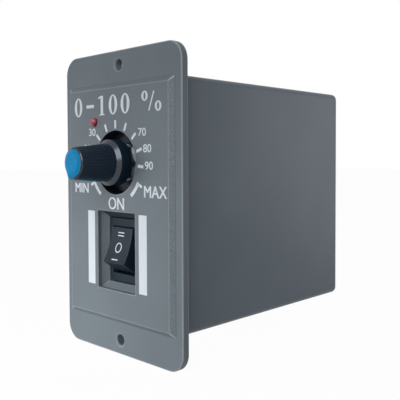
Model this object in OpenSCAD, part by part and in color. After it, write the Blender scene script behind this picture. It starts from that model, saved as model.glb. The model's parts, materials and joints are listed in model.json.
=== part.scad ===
// Panel-mounted speed controller for a DC motor. X is to the right, Y runs back into the
// housing and Z is up. The origin is midway between the two mounting holes, on the back
// face of the flange, where it rests on the panel.

/* [Front flange] */
// Width of the flange
flange_w = 60; // [58:0.5:64]
// Thickness of the flange
flange_t = 3; // [2.5:0.1:3.5]
// Corner radius of the flange
flange_r = 6; // [3:0.5:7]
// Rounding of the flange's front edge
flange_ease = 0.5; // [0.4:0.1:1.2]
// Chamfer round the back edge of the flange
flange_foot = 0.55; // [0.3:0.05:0.8]
// Distance between the two mounting holes
hole_pitch = 90.5; // [90:0.5:93]
// Distance from a mounting hole to the end of the flange
hole_margin = 4.75; // [4:0.25:8]
// Diameter of a mounting hole
hole_d = 3.6; // [3.2:0.1:4.5]
// Chamfer at the mouth of a mounting hole
hole_bevel = 0.4; // [0.2:0.1:0.6]

/* [Raised field] */
// Width of the raised field at its foot
field_w = 54.2; // [53:0.2:56]
// Height of the raised field at its foot
field_h = 78.6; // [78:0.2:82]
// How far the field stands proud of the flange
field_rise = 1.45; // [1.2:0.05:1.8]
// Width of the bevel round the field
field_bevel = 1.5; // [0.8:0.1:1.8]
// Wall of the field, hollow behind
field_wall = 2.4; // [2:0.1:2.6]
// Length of the rim that the housing slides over
rim_deep = 8; // [6:0.5:10]
// Wall of the rim
rim_wall = 1.6; // [1.2:0.1:2]
// Gap between the rim and the housing
rim_gap = 0.15; // [0.1:0.05:0.3]
// Height of the snap noses on the rim
nose_rise = 0.7; // [0.4:0.1:0.9]
// Length of a snap nose
nose_len = 9; // [6:0.5:12]

/* [Knob well] */
// Height of the knob's axis over the origin
knob_z = 13.4; // [12.5:0.1:14]
// Diameter of the well that the knob stands in
well_d = 20.9; // [20:0.1:22]
// Depth of the well under the field's face
well_deep = 5.25; // [5:0.05:5.6]
// Thickness of the floor of the well
well_floor = 1.8; // [1.5:0.1:2.2]
// Wall of the well and of the switch recess
well_wall = 1.6; // [1.2:0.1:1.8]

/* [Switch recess] */
// Height of the centre of the recess
recess_z = -15.7; // [-16:0.1:-15.4]
// Width of the mouth of the recess
recess_w = 19.6; // [19:0.1:20.4]
// Height of the mouth of the recess
recess_h = 26; // [25.6:0.1:26.4]
// Depth of the straight lip at the mouth
recess_lip = 1.3; // [1:0.1:1.6]
// Depth of the sloping sides
recess_slope = 2; // [1.6:0.1:2.1]
// Depth of the seat of the switch
recess_deep = 5.6; // [5.4:0.1:6]
// Thickness of the wall that the switch snaps into
seat_wall = 1.8; // [1.4:0.1:2.2]
// Gap round the bezel of the switch
seat_gap = 0.3; // [0.2:0.05:0.4]

/* [Housing] */
// Width of the housing
body_w = 52; // [51:0.2:54]
// Height of the housing
body_h = 80.4; // [80:0.2:82]
// Depth of the housing behind the flange
body_deep = 88; // [86:0.5:98]
// Wall of the housing
body_wall = 2.2; // [2:0.1:2.6]
// Rounding of the long edges
body_r = 2.4; // [2:0.1:3]
// Rounding of the back edges
body_ease = 2.2; // [1.6:0.1:2.4]
// Depth of the rebate in the flange that the housing's edge sits in
body_seat = 0.5; // [0.3:0.1:0.8]
// Corner radius inside the housing
inner_r = 0.8; // [0.5:0.1:1.5]
// Number of cooling slots in the top and in the bottom
slot_count = 7; // [3:1:8]
// Width of a cooling slot
slot_w = 2; // [1.4:0.1:2.4]
// Length of a cooling slot
slot_len = 28; // [20:1:30]
// Spacing of the cooling slots
slot_pitch = 4.6; // [4:0.1:5]

/* [Plug at the back] */
// Diameter of the flange of the plug
plug_d = 38; // [37:0.5:40]
// Thickness of the flange of the plug
plug_t = 3; // [2.4:0.1:4]
// Diameter of the plug inside the housing
plug_neck_d = 24; // [23:0.5:25]
// Circle that the contact pins stand on
pin_circle = 17.45; // [17:0.05:18]
// Diameter of a contact pin
pin_d = 2.36; // [2.2:0.02:2.5]
// Diameter of a pin where it is held in the plug
pin_root_d = 2.8; // [2.6:0.1:3.2]
// Length of the contact pins
pin_len = 11; // [9:0.5:12]
// Number of contact pins
pin_count = 8; // [4:1:8]
// Diameter of the key post
post_d = 7.9; // [7.5:0.1:8.3]
// Length of the key post
post_len = 14; // [12:0.5:15]
// Width of the rib on the key post
key_w = 1.3; // [1:0.1:1.6]
// Distance between the two plug screws
plug_screw_pitch = 31; // [30:0.2:32]

/* [Knob] */
// Diameter of the skirt of the knob
skirt_d = 14.9; // [14.4:0.1:15.4]
// Length of the knob
knob_len = 17.3; // [16:0.1:18]
// Length of the skirt with its sloping front
skirt_len = 5.3; // [5:0.1:5.6]
// Length of the slope in front of the skirt
ring_deep = 1.1; // [0.8:0.1:1.4]
// Diameter of the grip at the skirt
grip_back_d = 12.2; // [11.8:0.1:12.6]
// Diameter of the grip at the front
grip_front_d = 9.6; // [9.3:0.1:10]
// How far the skirt reaches into the well
skirt_dip = 1.15; // [0.8:0.05:1.3]
// Number of flutes round the grip
flute_count = 36; // [24:1:40]
// Radius of a flute
flute_r = 0.28; // [0.2:0.02:0.34]
// Diameter of the coloured cap
cap_d = 8.5; // [8.2:0.1:8.7]
// Thickness of the cap
cap_t = 1.7; // [1.5:0.1:2]
// How far the cap stands proud of the grip
cap_proud = 0.7; // [0.6:0.05:0.8]
// Width of the pointer on the cap
pointer_w = 1.2; // [1:0.1:1.6]
// How far the pointer stands proud of the grip
pointer_rise = 0.5; // [0.3:0.05:0.6]
// Angle of the pointer at rest, from straight up
knob_rest = -158; // [-160:1:-140]

/* [Potentiometer] */
// Diameter of the shaft
shaft_d = 6; // [5.8:0.1:6.2]
// Diameter of the threaded bushing
bushing_d = 7; // [6.8:0.1:7.4]
// Diameter of the can
can_d = 16.5; // [16:0.1:18]
// Depth of the can
can_deep = 6; // [5.8:0.1:7]
// Thickness of the front plate
pot_plate_t = 1.5; // [1.2:0.1:1.8]
// Width across the flats of the nut
nut_af = 10; // [9.5:0.1:11]
// Thickness of the nut
nut_t = 2; // [1.6:0.1:2.2]
// Diameter of the washer
washer_d = 12; // [11.8:0.1:13]
// Thickness of the washer
washer_t = 0.6; // [0.5:0.1:0.8]

/* [Rocker switch] */
// Height of the centre of the switch
switch_z = -15.8; // [-16.1:0.1:-15.6]
// Width of the bezel
bezel_w = 15; // [14.8:0.1:15.2]
// Height of the bezel
bezel_h = 21.4; // [21:0.1:21.5]
// Thickness of the bezel
bezel_t = 2; // [1.8:0.1:2.2]
// Width of the switch body
switch_w = 13; // [12.8:0.1:13.2]
// Height of the switch body
switch_h = 19; // [18.6:0.1:19.2]
// Depth of the switch body behind its seat
switch_deep = 12.4; // [12:0.1:14]
// Width of the rocker
rocker_w = 10.8; // [10.6:0.1:11.1]
// Height of the rocker's face
rocker_face_h = 11.8; // [11.4:0.1:12.2]
// Distance of the rocker's face in front of its pivot
rocker_front = 6.7; // [6.5:0.1:7]
// Depth of the dish in the rocker's face
rocker_dish = 0.65; // [0.4:0.05:0.8]
// Distance of the pivot behind the seat of the switch
pivot_deep = 1.55; // [1.5:0.05:1.7]
// Tilt of the rocker to each side of its middle position
rocker_tilt = 18; // [17:0.5:18]
// Tilt of the contact bar for each degree of the rocker
seesaw_ratio = 0.55; // [0.5:0.01:0.55]

/* [Indicator] */
// Diameter of the lens
lens_d = 3; // [2.8:0.1:3.2]
// How far the lens stands proud of the field
lens_proud = 1.7; // [1.5:0.1:2.2]
// Place of the lens to the left of the middle
lens_x = -11.1; // [-11.5:0.1:-10.9]
// Height of the lens
lens_z = 26.9; // [26.8:0.1:27.5]

/* [Circuit board] */
// Thickness of the board
board_t = 1.6; // [1.4:0.1:2]
// Distance of the board's component side from the side wall
board_inset = 6.4; // [5.8:0.1:6.8]
// Height of the guide ribs that hold the board
guide_rise = 2.4; // [1.8:0.1:3]
// Thickness of the guide ribs
guide_t = 1.4; // [1:0.1:1.8]
// Diameter of a wire with its insulation
wire_d = 1.3; // [1:0.1:1.4]

/* [Hidden] */
$fn = 48;

// Colours
panel_grey = "#737c84";
shell_grey = "#666e76";
knob_navy = "#14202a";
cap_blue = "#1c8fd0";
switch_slate = "#36404a";
lens_red = "#96142a";
brass = "#c9a75c";
steel = "#b9bdc2";
copper = "#b5713c";
board_green = "#2f6b4a";

// Shared clearances and small sizes
over = 0.5;       // overrun of a cut past the face it leaves
fit_gap = 0.05;   // between two pieces that are assembled and stay together
run_gap = 0.05;   // round a shaft or a pivot that turns
move_gap = 0.3;   // between faces that move past each other
arc_steps = 6;    // faces in a rounded edge

// Places along Y that follow from the sizes above
flange_h = hole_pitch + 2 * hole_margin;
field_face = -flange_t - field_rise;
field_back = field_face + field_wall;
well_face = field_face + well_deep;
well_back = well_face + well_floor;
seat_face = field_face + recess_deep;
seat_back = seat_face + seat_wall;
bezel_face = seat_face - bezel_t;
shell_in_w = body_w - 2 * body_wall;
shell_in_h = body_h - 2 * body_wall;
shell_in_back = body_deep - body_wall;
board_x = shell_in_w / 2 - board_inset;
rim_w = shell_in_w - 2 * rim_gap;
rim_h = shell_in_h - 2 * rim_gap;
nose_y = 0.6 * rim_deep;
nose_z_share = 0.26;

// Two-dimensional helpers
function arc(c, r, a0, a1, n) =
    [for (i = [0:n]) c + r * [cos(a0 + (a1 - a0) * i / n), sin(a0 + (a1 - a0) * i / n)]];
function mirrored(points) =
    concat(points, [for (i = [len(points) - 1:-1:0]) [-points[i][0], points[i][1]]]);
function round_edge(x, t, e, foot) = concat(foot > 0 ? [[x - foot, 0], [x, foot]] : [[x, 0]],
    arc([x - e, t - e], e, 0, 90, arc_steps));

module rounded_rect(w, h, r) {
    square([w - 2 * r, h], center = true);
    square([w, h - 2 * r], center = true);
    for (sx = [-1, 1], sy = [-1, 1])
        translate([sx * (w / 2 - r), sy * (h / 2 - r)]) circle(r);
}

// Rectangular outline with a slab's depth from y0 to y1, seen from the front
module slab(y0, y1) {
    translate([0, y1, 0]) rotate([90, 0, 0]) linear_extrude(y1 - y0) children();
}
module rod(d, y0, y1) {
    translate([0, y1, 0]) rotate([90, 0, 0]) cylinder(d = d, h = y1 - y0);
}
// Revolved about Y from points that are [radius, y]
module turned(points) {
    rotate([-90, 0, 0]) rotate_extrude() polygon(points);
}
// Profile points are [distance up, y], drawn to a width across X
module side_profile(w, points) {
    rotate([0, -90, 0]) translate([0, 0, -w / 2]) linear_extrude(w) polygon(points);
}
module at(x, z) {
    translate([x, 0, z]) children();
}
module on_knob_axis() {
    at(0, knob_z) children();
}
module turned_with_knob() {
    on_knob_axis() rotate([0, knob_rest, 0]) children();
}
module at_pivot() {
    translate([0, seat_face + pivot_deep, switch_z]) children();
}
module block(s) {
    translate([-s[0] / 2, -s[1] / 2, 0]) cube(s);
}

// Plate that grows along local Z with its upper edge rounded all round and its foot chamfered
module eased_plate(w, h, r, t, ease, foot = 0) {
    for (sx = [-1, 1], sy = [-1, 1])
        translate([sx * (w / 2 - r), sy * (h / 2 - r), 0])
            rotate_extrude() polygon(concat([[0, 0]], round_edge(r, t, ease, foot), [[0, t]]));
    translate([0, h / 2 - r, 0]) rotate([90, 0, 0])
        linear_extrude(h - 2 * r) polygon(mirrored(round_edge(w / 2, t, ease, foot)));
    translate([r - w / 2, 0, 0]) rotate([90, 0, 90])
        linear_extrude(w - 2 * r) polygon(mirrored(round_edge(h / 2, t, ease, foot)));
}

// Four-sided form with mitred corners that narrows or widens evenly from front to back
module funnel(y0, w0, low0, high0, y1, w1, low1, high1) {
    low = min(low0, low1);
    high = max(high0, high1);
    intersection() {
        translate([0, 0, low - over]) linear_extrude(high - low + 2 * over)
            polygon([[-w0 / 2, y0], [w0 / 2, y0], [w1 / 2, y1], [-w1 / 2, y1]]);
        side_profile(max(w0, w1) + 2 * over,
            [[low0, y0], [high0, y0], [high1, y1], [low1, y1]]);
    }
}

// Front panel
seat_w = bezel_w + 2 * seat_gap;
seat_h = bezel_h + 2 * seat_gap;
slope_y0 = field_face + recess_lip;
slope_y1 = slope_y0 + recess_slope;
cut_w = switch_w + 2 * fit_gap;
cut_h = switch_h + 2 * fit_gap;
lens_gap = 0.1;
lock_r = 0.37 * can_d;
lock_w = 2;
lock_t = 1;

module snap_noses(extra) {
    for (s = [-1, 1], k = [-1, 1])
        translate([s * (rim_w / 2 - extra), nose_y, k * nose_z_share * rim_h])
            linear_extrude(nose_len + 2 * extra, center = true)
                polygon([[0, -nose_rise - extra], [s * (nose_rise + 2 * extra), 0],
                    [0, 2 * nose_rise + 4 * extra]]);
}

module front_panel() {
    color(panel_grey) difference() {
        union() {
            rotate([90, 0, 0])
                eased_plate(flange_w, flange_h, flange_r, flange_t, flange_ease, flange_foot);
            // The field's bevel runs on into the flange at the same slope
            funnel(field_face, field_w - 2 * field_bevel, field_bevel - field_h / 2,
                field_h / 2 - field_bevel, field_rise - flange_t, field_w + 2 * field_bevel,
                -field_bevel - field_h / 2, field_bevel + field_h / 2);
            slab(-flange_t / 2, rim_deep) rounded_rect(rim_w, rim_h, inner_r);
            snap_noses(0);
        }
        difference() {
            slab(field_back, rim_deep + over)
                rounded_rect(rim_w - 2 * rim_wall, rim_h - 2 * rim_wall, inner_r);
            on_knob_axis() rod(well_d + 2 * well_wall, field_back - over, well_back);
            at(0, recess_z) slab(field_back - over, slope_y1)
                square([recess_w + 2 * well_wall, recess_h + 2 * well_wall], center = true);
            at(0, switch_z) slab(field_back - over, seat_back)
                square([seat_w + 2 * well_wall, seat_h + 2 * well_wall], center = true);
        }
        on_knob_axis() {
            rod(well_d, field_face - over, well_face);
            rod(bushing_d + 4 * fit_gap, well_face - over, well_back + over);
            at(0, lock_r) slab(well_back - lock_t - fit_gap, well_back + over)
                square(lock_w + 2 * fit_gap, center = true);
        }
        difference() {
            slab(-body_seat, over)
                rounded_rect(body_w + 2 * rim_gap, body_h + 2 * rim_gap, body_r + rim_gap);
            slab(-body_seat - over, 2 * over) rounded_rect(rim_w, rim_h, inner_r);
        }
        at(0, recess_z) slab(field_face - over, slope_y0)
            square([recess_w, recess_h], center = true);
        funnel(slope_y0, recess_w, recess_z - recess_h / 2, recess_z + recess_h / 2,
            slope_y1, seat_w, switch_z - seat_h / 2, switch_z + seat_h / 2);
        at(0, switch_z) {
            slab(slope_y1, seat_face) square([seat_w, seat_h], center = true);
            slab(seat_face - over, seat_back + over) square([cut_w, cut_h], center = true);
        }
        at(lens_x, lens_z) rod(lens_d + 2 * lens_gap, field_face - over, field_back + over);
        for (s = [-1, 1]) at(0, s * hole_pitch / 2) {
            rod(hole_d, -flange_t - over, over);
            turned([[0, -flange_t - over], [hole_d / 2 + hole_bevel + over, -flange_t - over],
                [hole_d / 2, hole_bevel - flange_t], [0, hole_bevel - flange_t]]);
        }
    }
}

// Housing
guide_gap = 0.15;
guide_y0 = rim_deep + 2 * move_gap;
stop_len = 3;
board_front = rim_deep + move_gap;
board_back = shell_in_back - 2 * stop_len;
board_l = board_back - board_front;
board_h = shell_in_h - 2 * move_gap;
plug_hole_d = plug_neck_d + 2 * fit_gap;
plug_screw_d = 2.9;
plug_head_d = 5.4;
plug_head_t = 1.8;
boss_d = 7;
boss_len = 5;
slots_y_share = 0.66;
slots_x_share = -0.09;

module board_guides() {
    for (s = [-1, 1]) {
        edge = s * (shell_in_h / 2 - guide_rise / 2 + over / 2);
        for (x = [board_x - guide_gap - guide_t, board_x + board_t + guide_gap])
            translate([x + guide_t / 2, (guide_y0 + board_back + stop_len) / 2, edge])
                cube([guide_t, board_back + stop_len - guide_y0, guide_rise + over],
                    center = true);
        translate([board_x + board_t / 2, board_back + stop_len / 2, edge])
            cube([board_t + 2 * guide_gap + guide_t, stop_len, guide_rise + over],
                center = true);
    }
}

module cooling_slots() {
    for (i = [0:slot_count - 1])
        translate([slots_x_share * body_w,
                slots_y_share * body_deep + (i - (slot_count - 1) / 2) * slot_pitch, 0])
            cube([slot_len, slot_w, body_h + 2 * over], center = true);
}

module body_shell() {
    color(shell_grey) difference() {
        union() {
            difference() {
                translate([0, fit_gap - body_seat, 0]) rotate([-90, 0, 0])
                    eased_plate(body_w, body_h, body_r, body_deep + body_seat - fit_gap, body_ease);
                slab(-body_seat - over, shell_in_back)
                    rounded_rect(shell_in_w, shell_in_h, inner_r);
            }
            board_guides();
            for (s = [-1, 1]) at(s * plug_screw_pitch / 2, 0)
                rod(boss_d, shell_in_back - boss_len, shell_in_back + body_wall / 2);
        }
        snap_noses(rim_gap);
        rod(plug_hole_d, shell_in_back - over, body_deep + over);
        for (s = [-1, 1]) at(s * plug_screw_pitch / 2, 0)
            rod(plug_screw_d, shell_in_back - boss_len - over, body_deep + over);
        cooling_slots();
    }
}

// Plug
plug_face = body_deep + plug_t;
neck_front = shell_in_back - 1.5 * body_wall;
tail_front = neck_front - 2 * pin_d;
pin_step = 360 / pin_count;
tail_d = 1.8;
post_ease = 0.8;
plug_ease = 0.6;

module on_pins() {
    for (i = [0:pin_count - 1])
        rotate([0, pin_step * (i + 1 / 2), 0]) at(0, pin_circle / 2) children();
}

module plug_base() {
    post_r = post_d / 2;
    post_back = plug_face + post_len;
    color("#22262a") difference() {
        union() {
            turned(concat([[0, neck_front], [plug_neck_d / 2, neck_front],
                [plug_neck_d / 2, body_deep], [plug_d / 2, body_deep]],
                arc([plug_d / 2 - plug_ease, plug_face - plug_ease], plug_ease, 0, 90, arc_steps),
                [[post_r, plug_face], [post_r, post_back - post_ease],
                [post_r - post_ease, post_back], [0, post_back]]));
            translate([-key_w / 2, plug_face - over, 0])
                cube([key_w, post_len + over - post_ease, post_r + key_w]);
        }
        on_pins() rod(pin_root_d + 2 * fit_gap, neck_front - over, plug_face + over);
        for (s = [-1, 1]) at(s * plug_screw_pitch / 2, 0) {
            rod(plug_screw_d + 4 * fit_gap, body_deep - over, plug_face + over);
        }
    }
}

module plug_pins() {
    pin_r = pin_d / 2;
    pin_back = plug_face + pin_len;
    root_r = pin_root_d / 2;
    tail_r = tail_d / 2;
    color(brass) on_pins() turned(concat([[0, tail_front], [tail_r, tail_front],
        [tail_r, neck_front], [root_r, neck_front], [root_r, plug_face], [pin_r, plug_face],
        [pin_r, pin_back - pin_r]], arc([0, pin_back - pin_r], pin_r, 0, 90, arc_steps)));
}

module plug_screws() {
    head_y = plug_face + plug_head_t;
    color(steel) for (s = [-1, 1]) at(s * plug_screw_pitch / 2, 0) difference() {
        union() {
            rod(plug_screw_d - 2 * fit_gap, shell_in_back - boss_len + fit_gap, plug_face + fit_gap);
            turned(concat([[0, plug_face], [plug_head_d / 2, plug_face]],
                arc([plug_head_d / 2 - plug_head_t, plug_face], plug_head_t, 0, 90, arc_steps),
                [[0, head_y]]));
        }
        for (a = [0, 90]) rotate([0, a, 0])
            translate([0, head_y, 0]) cube([plug_head_d / 2, plug_head_t, plug_head_t / 3],
                center = true);
    }
}

// Knob
skirt_back = field_face + skirt_dip;
grip_back = skirt_back - skirt_len;
grip_face = skirt_back - knob_len;
grip_len = grip_back - grip_face;
skirt_edge = 0.3;
grip_ease = 0.35;
flat_share = 0.5;
flat_up = flat_share * shaft_d / 2;
shaft_front = grip_face + 2 * cap_t;
cap_floor = grip_face - cap_proud + cap_t;
cap_foot = grip_face + cap_t / 2;
strip_deep = 0.6;
cap_bevel = 0.6;
cap_slope = 1.2;
drop_tip = grip_front_d / 2 + pointer_rise;
drop_r = cap_d / 2 - fit_gap;
hollow_d = nut_af;

// Grip radius at a place along Y
function grip_r(y) =
    grip_front_d / 2 + (grip_back_d - grip_front_d) / 2 * (y - grip_face) / grip_len;

// Angle at which the cap's straight sides leave its disc for the tip
function drop_lean(grow) =
    atan((pointer_w / 2 + grow) / (drop_tip + grow))
    + acos((drop_r + grow) / norm([pointer_w / 2 + grow, drop_tip + grow]));

module pointer(grow) {
    front = grip_face - cap_proud + cap_bevel;
    back = grip_back - fit_gap + grow;
    side_profile(pointer_w + 2 * grow, [[0, cap_foot + grow], [0, front - grow],
        [drop_tip, front - grow],
        [grip_r(back) + pointer_rise, back],
        [grip_r(back) - strip_deep - grow, back],
        [grip_r(cap_foot) - strip_deep - grow, cap_foot + grow]]);
}

// Part of the cap between its disc and the tip of the pointer
module cap_drop(grow, front) {
    r = drop_r + grow;
    side = pointer_w / 2 + grow;
    lean = drop_lean(grow);
    slab(front, cap_foot + grow) polygon([[-side, drop_tip + grow], [side, drop_tip + grow],
        r * [sin(lean), cos(lean)], r * [-sin(lean), cos(lean)]]);
}

module knob() {
    grip_slope = atan((grip_back_d - grip_front_d) / 2 / grip_len);
    color(knob_navy) difference() {
        turned_with_knob() turned(concat(
            [[0, grip_face], [grip_r(grip_face) - grip_ease, grip_face],
            [grip_r(grip_face + grip_ease), grip_face + grip_ease],
            [grip_r(grip_back), grip_back],
            [skirt_d / 2, grip_back + ring_deep],
            [skirt_d / 2, skirt_back - skirt_edge],
            [skirt_d / 2 - skirt_edge, skirt_back], [0, skirt_back]]));
        turned_with_knob() {
            rod(cap_d + 2 * fit_gap, grip_face - over, cap_floor);
            cap_drop(fit_gap, grip_face - over);
            pointer(fit_gap);
            rod(hollow_d + 2 * move_gap, skirt_back - skirt_len / 2, skirt_back + over);
            difference() {
                rod(shaft_d + 2 * fit_gap, shaft_front - fit_gap, skirt_back);
                translate([-shaft_d, shaft_front - 2 * over, flat_up + fit_gap])
                    cube([2 * shaft_d, grip_back - shaft_front + 2 * over, shaft_d]);
            }
            for (i = [1:flute_count - 1]) rotate([0, 360 / flute_count * i, 0])
                translate([0, grip_face, grip_r(grip_face) + flute_r / 2])
                    rotate([-90 + grip_slope, 0, 0]) translate([0, 0, -over])
                        cylinder(r = flute_r, h = grip_len - over, $fn = 16);
        }
    }
}

module knob_cap() {
    r = cap_d / 2;
    face = grip_face - cap_proud;
    color(cap_blue) turned_with_knob() {
        turned([[0, face], [r - cap_slope, face], [r, face + cap_bevel], [r, cap_floor],
            [0, cap_floor]]);
        cap_drop(0, face + cap_bevel);
        pointer(0);
    }
}

// Potentiometer
pot_plate_back = well_back + pot_plate_t;
can_back = pot_plate_back + can_deep;
can_wall = 0.5;
bushing_front = well_face - washer_t - nut_t - bushing_d / 10;
track_d = can_d - 3 * can_wall;
track_t = 1.2;
track_back = pot_plate_back + track_t;
tail_w = 0.78 * can_d;
tail_reach = 3;
tail_low = can_d / 2 + tail_reach;
rotor_t = 1.6;
rotor_front = track_back + 2 * move_gap;
rotor_back = rotor_front + rotor_t;
rotor_inset = 1;
rotor_d = track_d - 2 * rotor_inset;
nub_w = 2;
stop_w = 4.4;
lug_pitch = 5;
lug_w = 1.6;
lug_t = 0.5;
lug_reach = 1;
lug_back = can_back + lug_reach;

module pot_shaft() {
    flat_back = grip_back;
    color(steel) turned_with_knob() difference() {
        turned([[0, shaft_front], [shaft_d / 2 - flute_r, shaft_front],
            [shaft_d / 2, shaft_front + flute_r], [shaft_d / 2, rotor_back + move_gap],
            [0, rotor_back + move_gap]]);
        translate([-shaft_d, shaft_front - over, flat_up])
            cube([2 * shaft_d, flat_back - shaft_front + over, shaft_d]);
    }
}

module pot_wiper() {
    color("#3a3a3c") turned_with_knob() difference() {
        union() {
            rod(rotor_d, rotor_front, rotor_back);
            translate([-nub_w / 2, rotor_front, rotor_d / 2 - over])
                cube([nub_w, rotor_back - rotor_front, over + move_gap]);
            translate([-nub_w / 2, track_back + move_gap, track_d / 4])
                cube([nub_w, rotor_front - track_back, track_d / 8]);
        }
        rod(shaft_d + 2 * fit_gap, track_back, rotor_back + over);
    }
}

module pot_bushing() {
    color("#b4b1aa") on_knob_axis() difference() {
        union() {
            rod(can_d, well_back, pot_plate_back);
            turned([[0, bushing_front], [bushing_d / 2 - flute_r, bushing_front],
                [bushing_d / 2, bushing_front + flute_r], [bushing_d / 2, well_back + over],
                [0, well_back + over]]);
            at(0, lock_r) slab(well_back - lock_t, well_back + over)
                square(lock_w, center = true);
        }
        rod(shaft_d + 2 * run_gap, bushing_front - over, pot_plate_back + over);
    }
}

module pot_case() {
    color(steel) on_knob_axis() difference() {
        union() {
            difference() {
                rod(can_d, pot_plate_back, can_back);
                rod(can_d - 2 * can_wall, pot_plate_back - over, can_back - can_wall);
            }
            translate([-stop_w / 2, rotor_front, -can_d / 2 + can_wall / 2])
                cube([stop_w, rotor_back - rotor_front, can_d / 2 - can_wall / 2
                    - rotor_d / 2 - move_gap]);
        }
        translate([-tail_w / 2 - fit_gap, pot_plate_back - over, -can_d])
            cube([tail_w + 2 * fit_gap, track_back - pot_plate_back + over + fit_gap,
                can_d]);
    }
}

module pot_track() {
    color("#7a4a28") on_knob_axis() difference() {
        union() {
            rod(track_d, pot_plate_back, track_back);
            translate([-tail_w / 2, pot_plate_back, -tail_low])
                cube([tail_w, track_back - pot_plate_back, tail_low]);
        }
        rod(shaft_d + 2 * move_gap, pot_plate_back - over, track_back + over);
    }
}

lug_z = -tail_low + lug_w / 2;
module pot_lugs() {
    color(brass) on_knob_axis() for (i = [-1, 0, 1])
        translate([i * lug_pitch - lug_w / 2, track_back, lug_z - lug_t / 2])
            cube([lug_w, lug_back - track_back, lug_t]);
}

module pot_nut() {
    color(steel) on_knob_axis() difference() {
        translate([0, well_face - washer_t, 0]) rotate([90, 0, 0])
            cylinder(d = nut_af / cos(30), h = nut_t, $fn = 6);
        rod(bushing_d + 2 * fit_gap, bushing_front - over, well_face);
    }
}

module pot_washer() {
    color(steel) on_knob_axis() difference() {
        rod(washer_d, well_face - washer_t, well_face);
        rod(bushing_d + 2 * fit_gap, well_face - washer_t - over, well_face + over);
    }
}

// Rocker switch, drawn about its own centre
switch_back = seat_face + switch_deep;
side_gap = 0.35;
cavity_w = rocker_w + 2 * side_gap;
face_half = rocker_face_h / 2;
// Where the end wall of the rocker turns into an arc about the pivot
end_r = rocker_front * sin(rocker_tilt) + face_half * cos(rocker_tilt);
end_y = -end_r * sin(rocker_tilt);
end_up = end_r * cos(rocker_tilt);
opening_h = 2 * (end_r + move_gap);
opening_w = switch_w - 2 * side_gap;
switch_floor_t = 1.2;
switch_floor = switch_back - switch_floor_t;
bezel_r = 1;
bezel_ease = 0.4;
pin_r = 1.2;
tip_reach = 6.8;
tip_r = 0.8;
bar_t = 0.5;
bar_w = 4;
bar_half = 6.3;
bar_rise = 0.7;
bar_bend = 2.3;
bar_pivot_r = 0.8;
pivot_y = seat_face + pivot_deep;
bar_y = pivot_y + tip_reach + move_gap;
button_t = 0.6;
button_d = 2.4;
blade_w = 4.8;
blade_t = 0.8;
blade_len = 7.5;
blade_back = switch_back + blade_len;
bar_tilt = rocker_tilt * seesaw_ratio;
fixed_y = bar_y + (bar_t - bar_rise + button_t) * cos(bar_tilt) + bar_half * sin(bar_tilt)
    + 2 * fit_gap;
barb_rise = 0.45;

module switch_housing() {
    color(switch_slate) at(0, switch_z) difference() {
        union() {
            rotate([90, 0, 0]) translate([0, 0, -seat_face])
                eased_plate(bezel_w, bezel_h, bezel_r, bezel_t, bezel_ease);
            slab(seat_face - bezel_t / 2, switch_back) square([switch_w, switch_h], center = true);
            for (s = [-1, 1]) translate([0, seat_back + fit_gap, s * switch_h / 2])
                side_profile(switch_w / 2, [[0, 0], [s * barb_rise, 0],
                    [s * barb_rise, barb_rise], [0, switch_deep / 3]]);
        }
        slab(bezel_face - over, bezel_face + bezel_t / 2)
            square([opening_w, opening_h], center = true);
        slab(bezel_face, switch_floor) square([cavity_w, opening_h], center = true);
        translate([-switch_w, pivot_y, 0]) rotate([0, 90, 0])
            cylinder(r = pin_r + run_gap, h = 2 * switch_w);
        for (k = [-1, 0, 1]) at(0, k * (bar_half - button_d / 2))
            slab(switch_floor - over, switch_back + over)
                square([blade_w + 2 * fit_gap, blade_t + 2 * fit_gap], center = true);
    }
}

// Face, end walls and under side of the rocker as [up, y] about the pivot
dish_r = (face_half * face_half + rocker_dish * rocker_dish) / 2 / rocker_dish;
dish_a = asin(face_half / dish_r);
skin = 1.3;
hub_half = 2.3;
hub_back = 2.2;
function rocker_side() = concat(
    arc([0, -rocker_front + rocker_dish - dish_r], dish_r, 90 - dish_a, 90 + dish_a, 2 * arc_steps),
    arc([0, 0], end_r, 180 + rocker_tilt, 180, arc_steps),
    [[-hub_half, end_y / 2], [-hub_half, hub_back], [hub_half, hub_back],
    [hub_half, end_y / 2]],
    arc([0, 0], end_r, 0, -rocker_tilt, arc_steps));
function rocker_hollow(s) = [[s * hub_half, over], [s * (end_r - skin), over],
    [s * (end_r - skin), 0], [s * (end_up - skin), end_y],
    [s * (face_half - skin), -rocker_front + rocker_dish + skin],
    [s * hub_half, -rocker_front + rocker_dish + skin]];

module rocker() {
    color(switch_slate) at_pivot() rotate([-rocker_tilt, 0, 0]) difference() {
        union() {
            side_profile(rocker_w, rocker_side());
            translate([-opening_w / 2, 0, 0]) rotate([0, 90, 0])
                cylinder(r = pin_r, h = opening_w);
        }
        for (s = [-1, 1]) side_profile(rocker_w - 2 * skin, rocker_hollow(s));
        rod(2 * (tip_r + fit_gap), -rocker_front / 2, tip_reach);
    }
}

module rocker_plunger() {
    color("#d8d4c8") at_pivot() rotate([-rocker_tilt, 0, 0])
        turned(concat([[0, pin_r], [tip_r, pin_r]],
            arc([0, tip_reach - tip_r], tip_r, 0, 90, arc_steps)));
}

coil_wire = 0.25;
coil_turns = 6;
coil_sides = 6;
coil_rings = 10;
function ring_at(c, u, v, r, n) = [for (j = [0:n - 1]) c + r * (cos(360 * j / n) * u + sin(360 * j / n) * v)];
// Tube through rings of n points each, closed at both ends
module tube(rings, n) {
    count = len(rings);
    points = [for (ring = rings) for (p = ring) p];
    sides = [for (i = [0:count - 2], j = [0:n - 1])
        let (a = i * n + j, b = i * n + (j + 1) % n) each [[a, b, b + n], [a, b + n, a + n]]];
    caps = [[for (j = [n - 1:-1:0]) j], [for (j = [0:n - 1]) (count - 1) * n + j]];
    polyhedron(points, concat(sides, caps));
}

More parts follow.
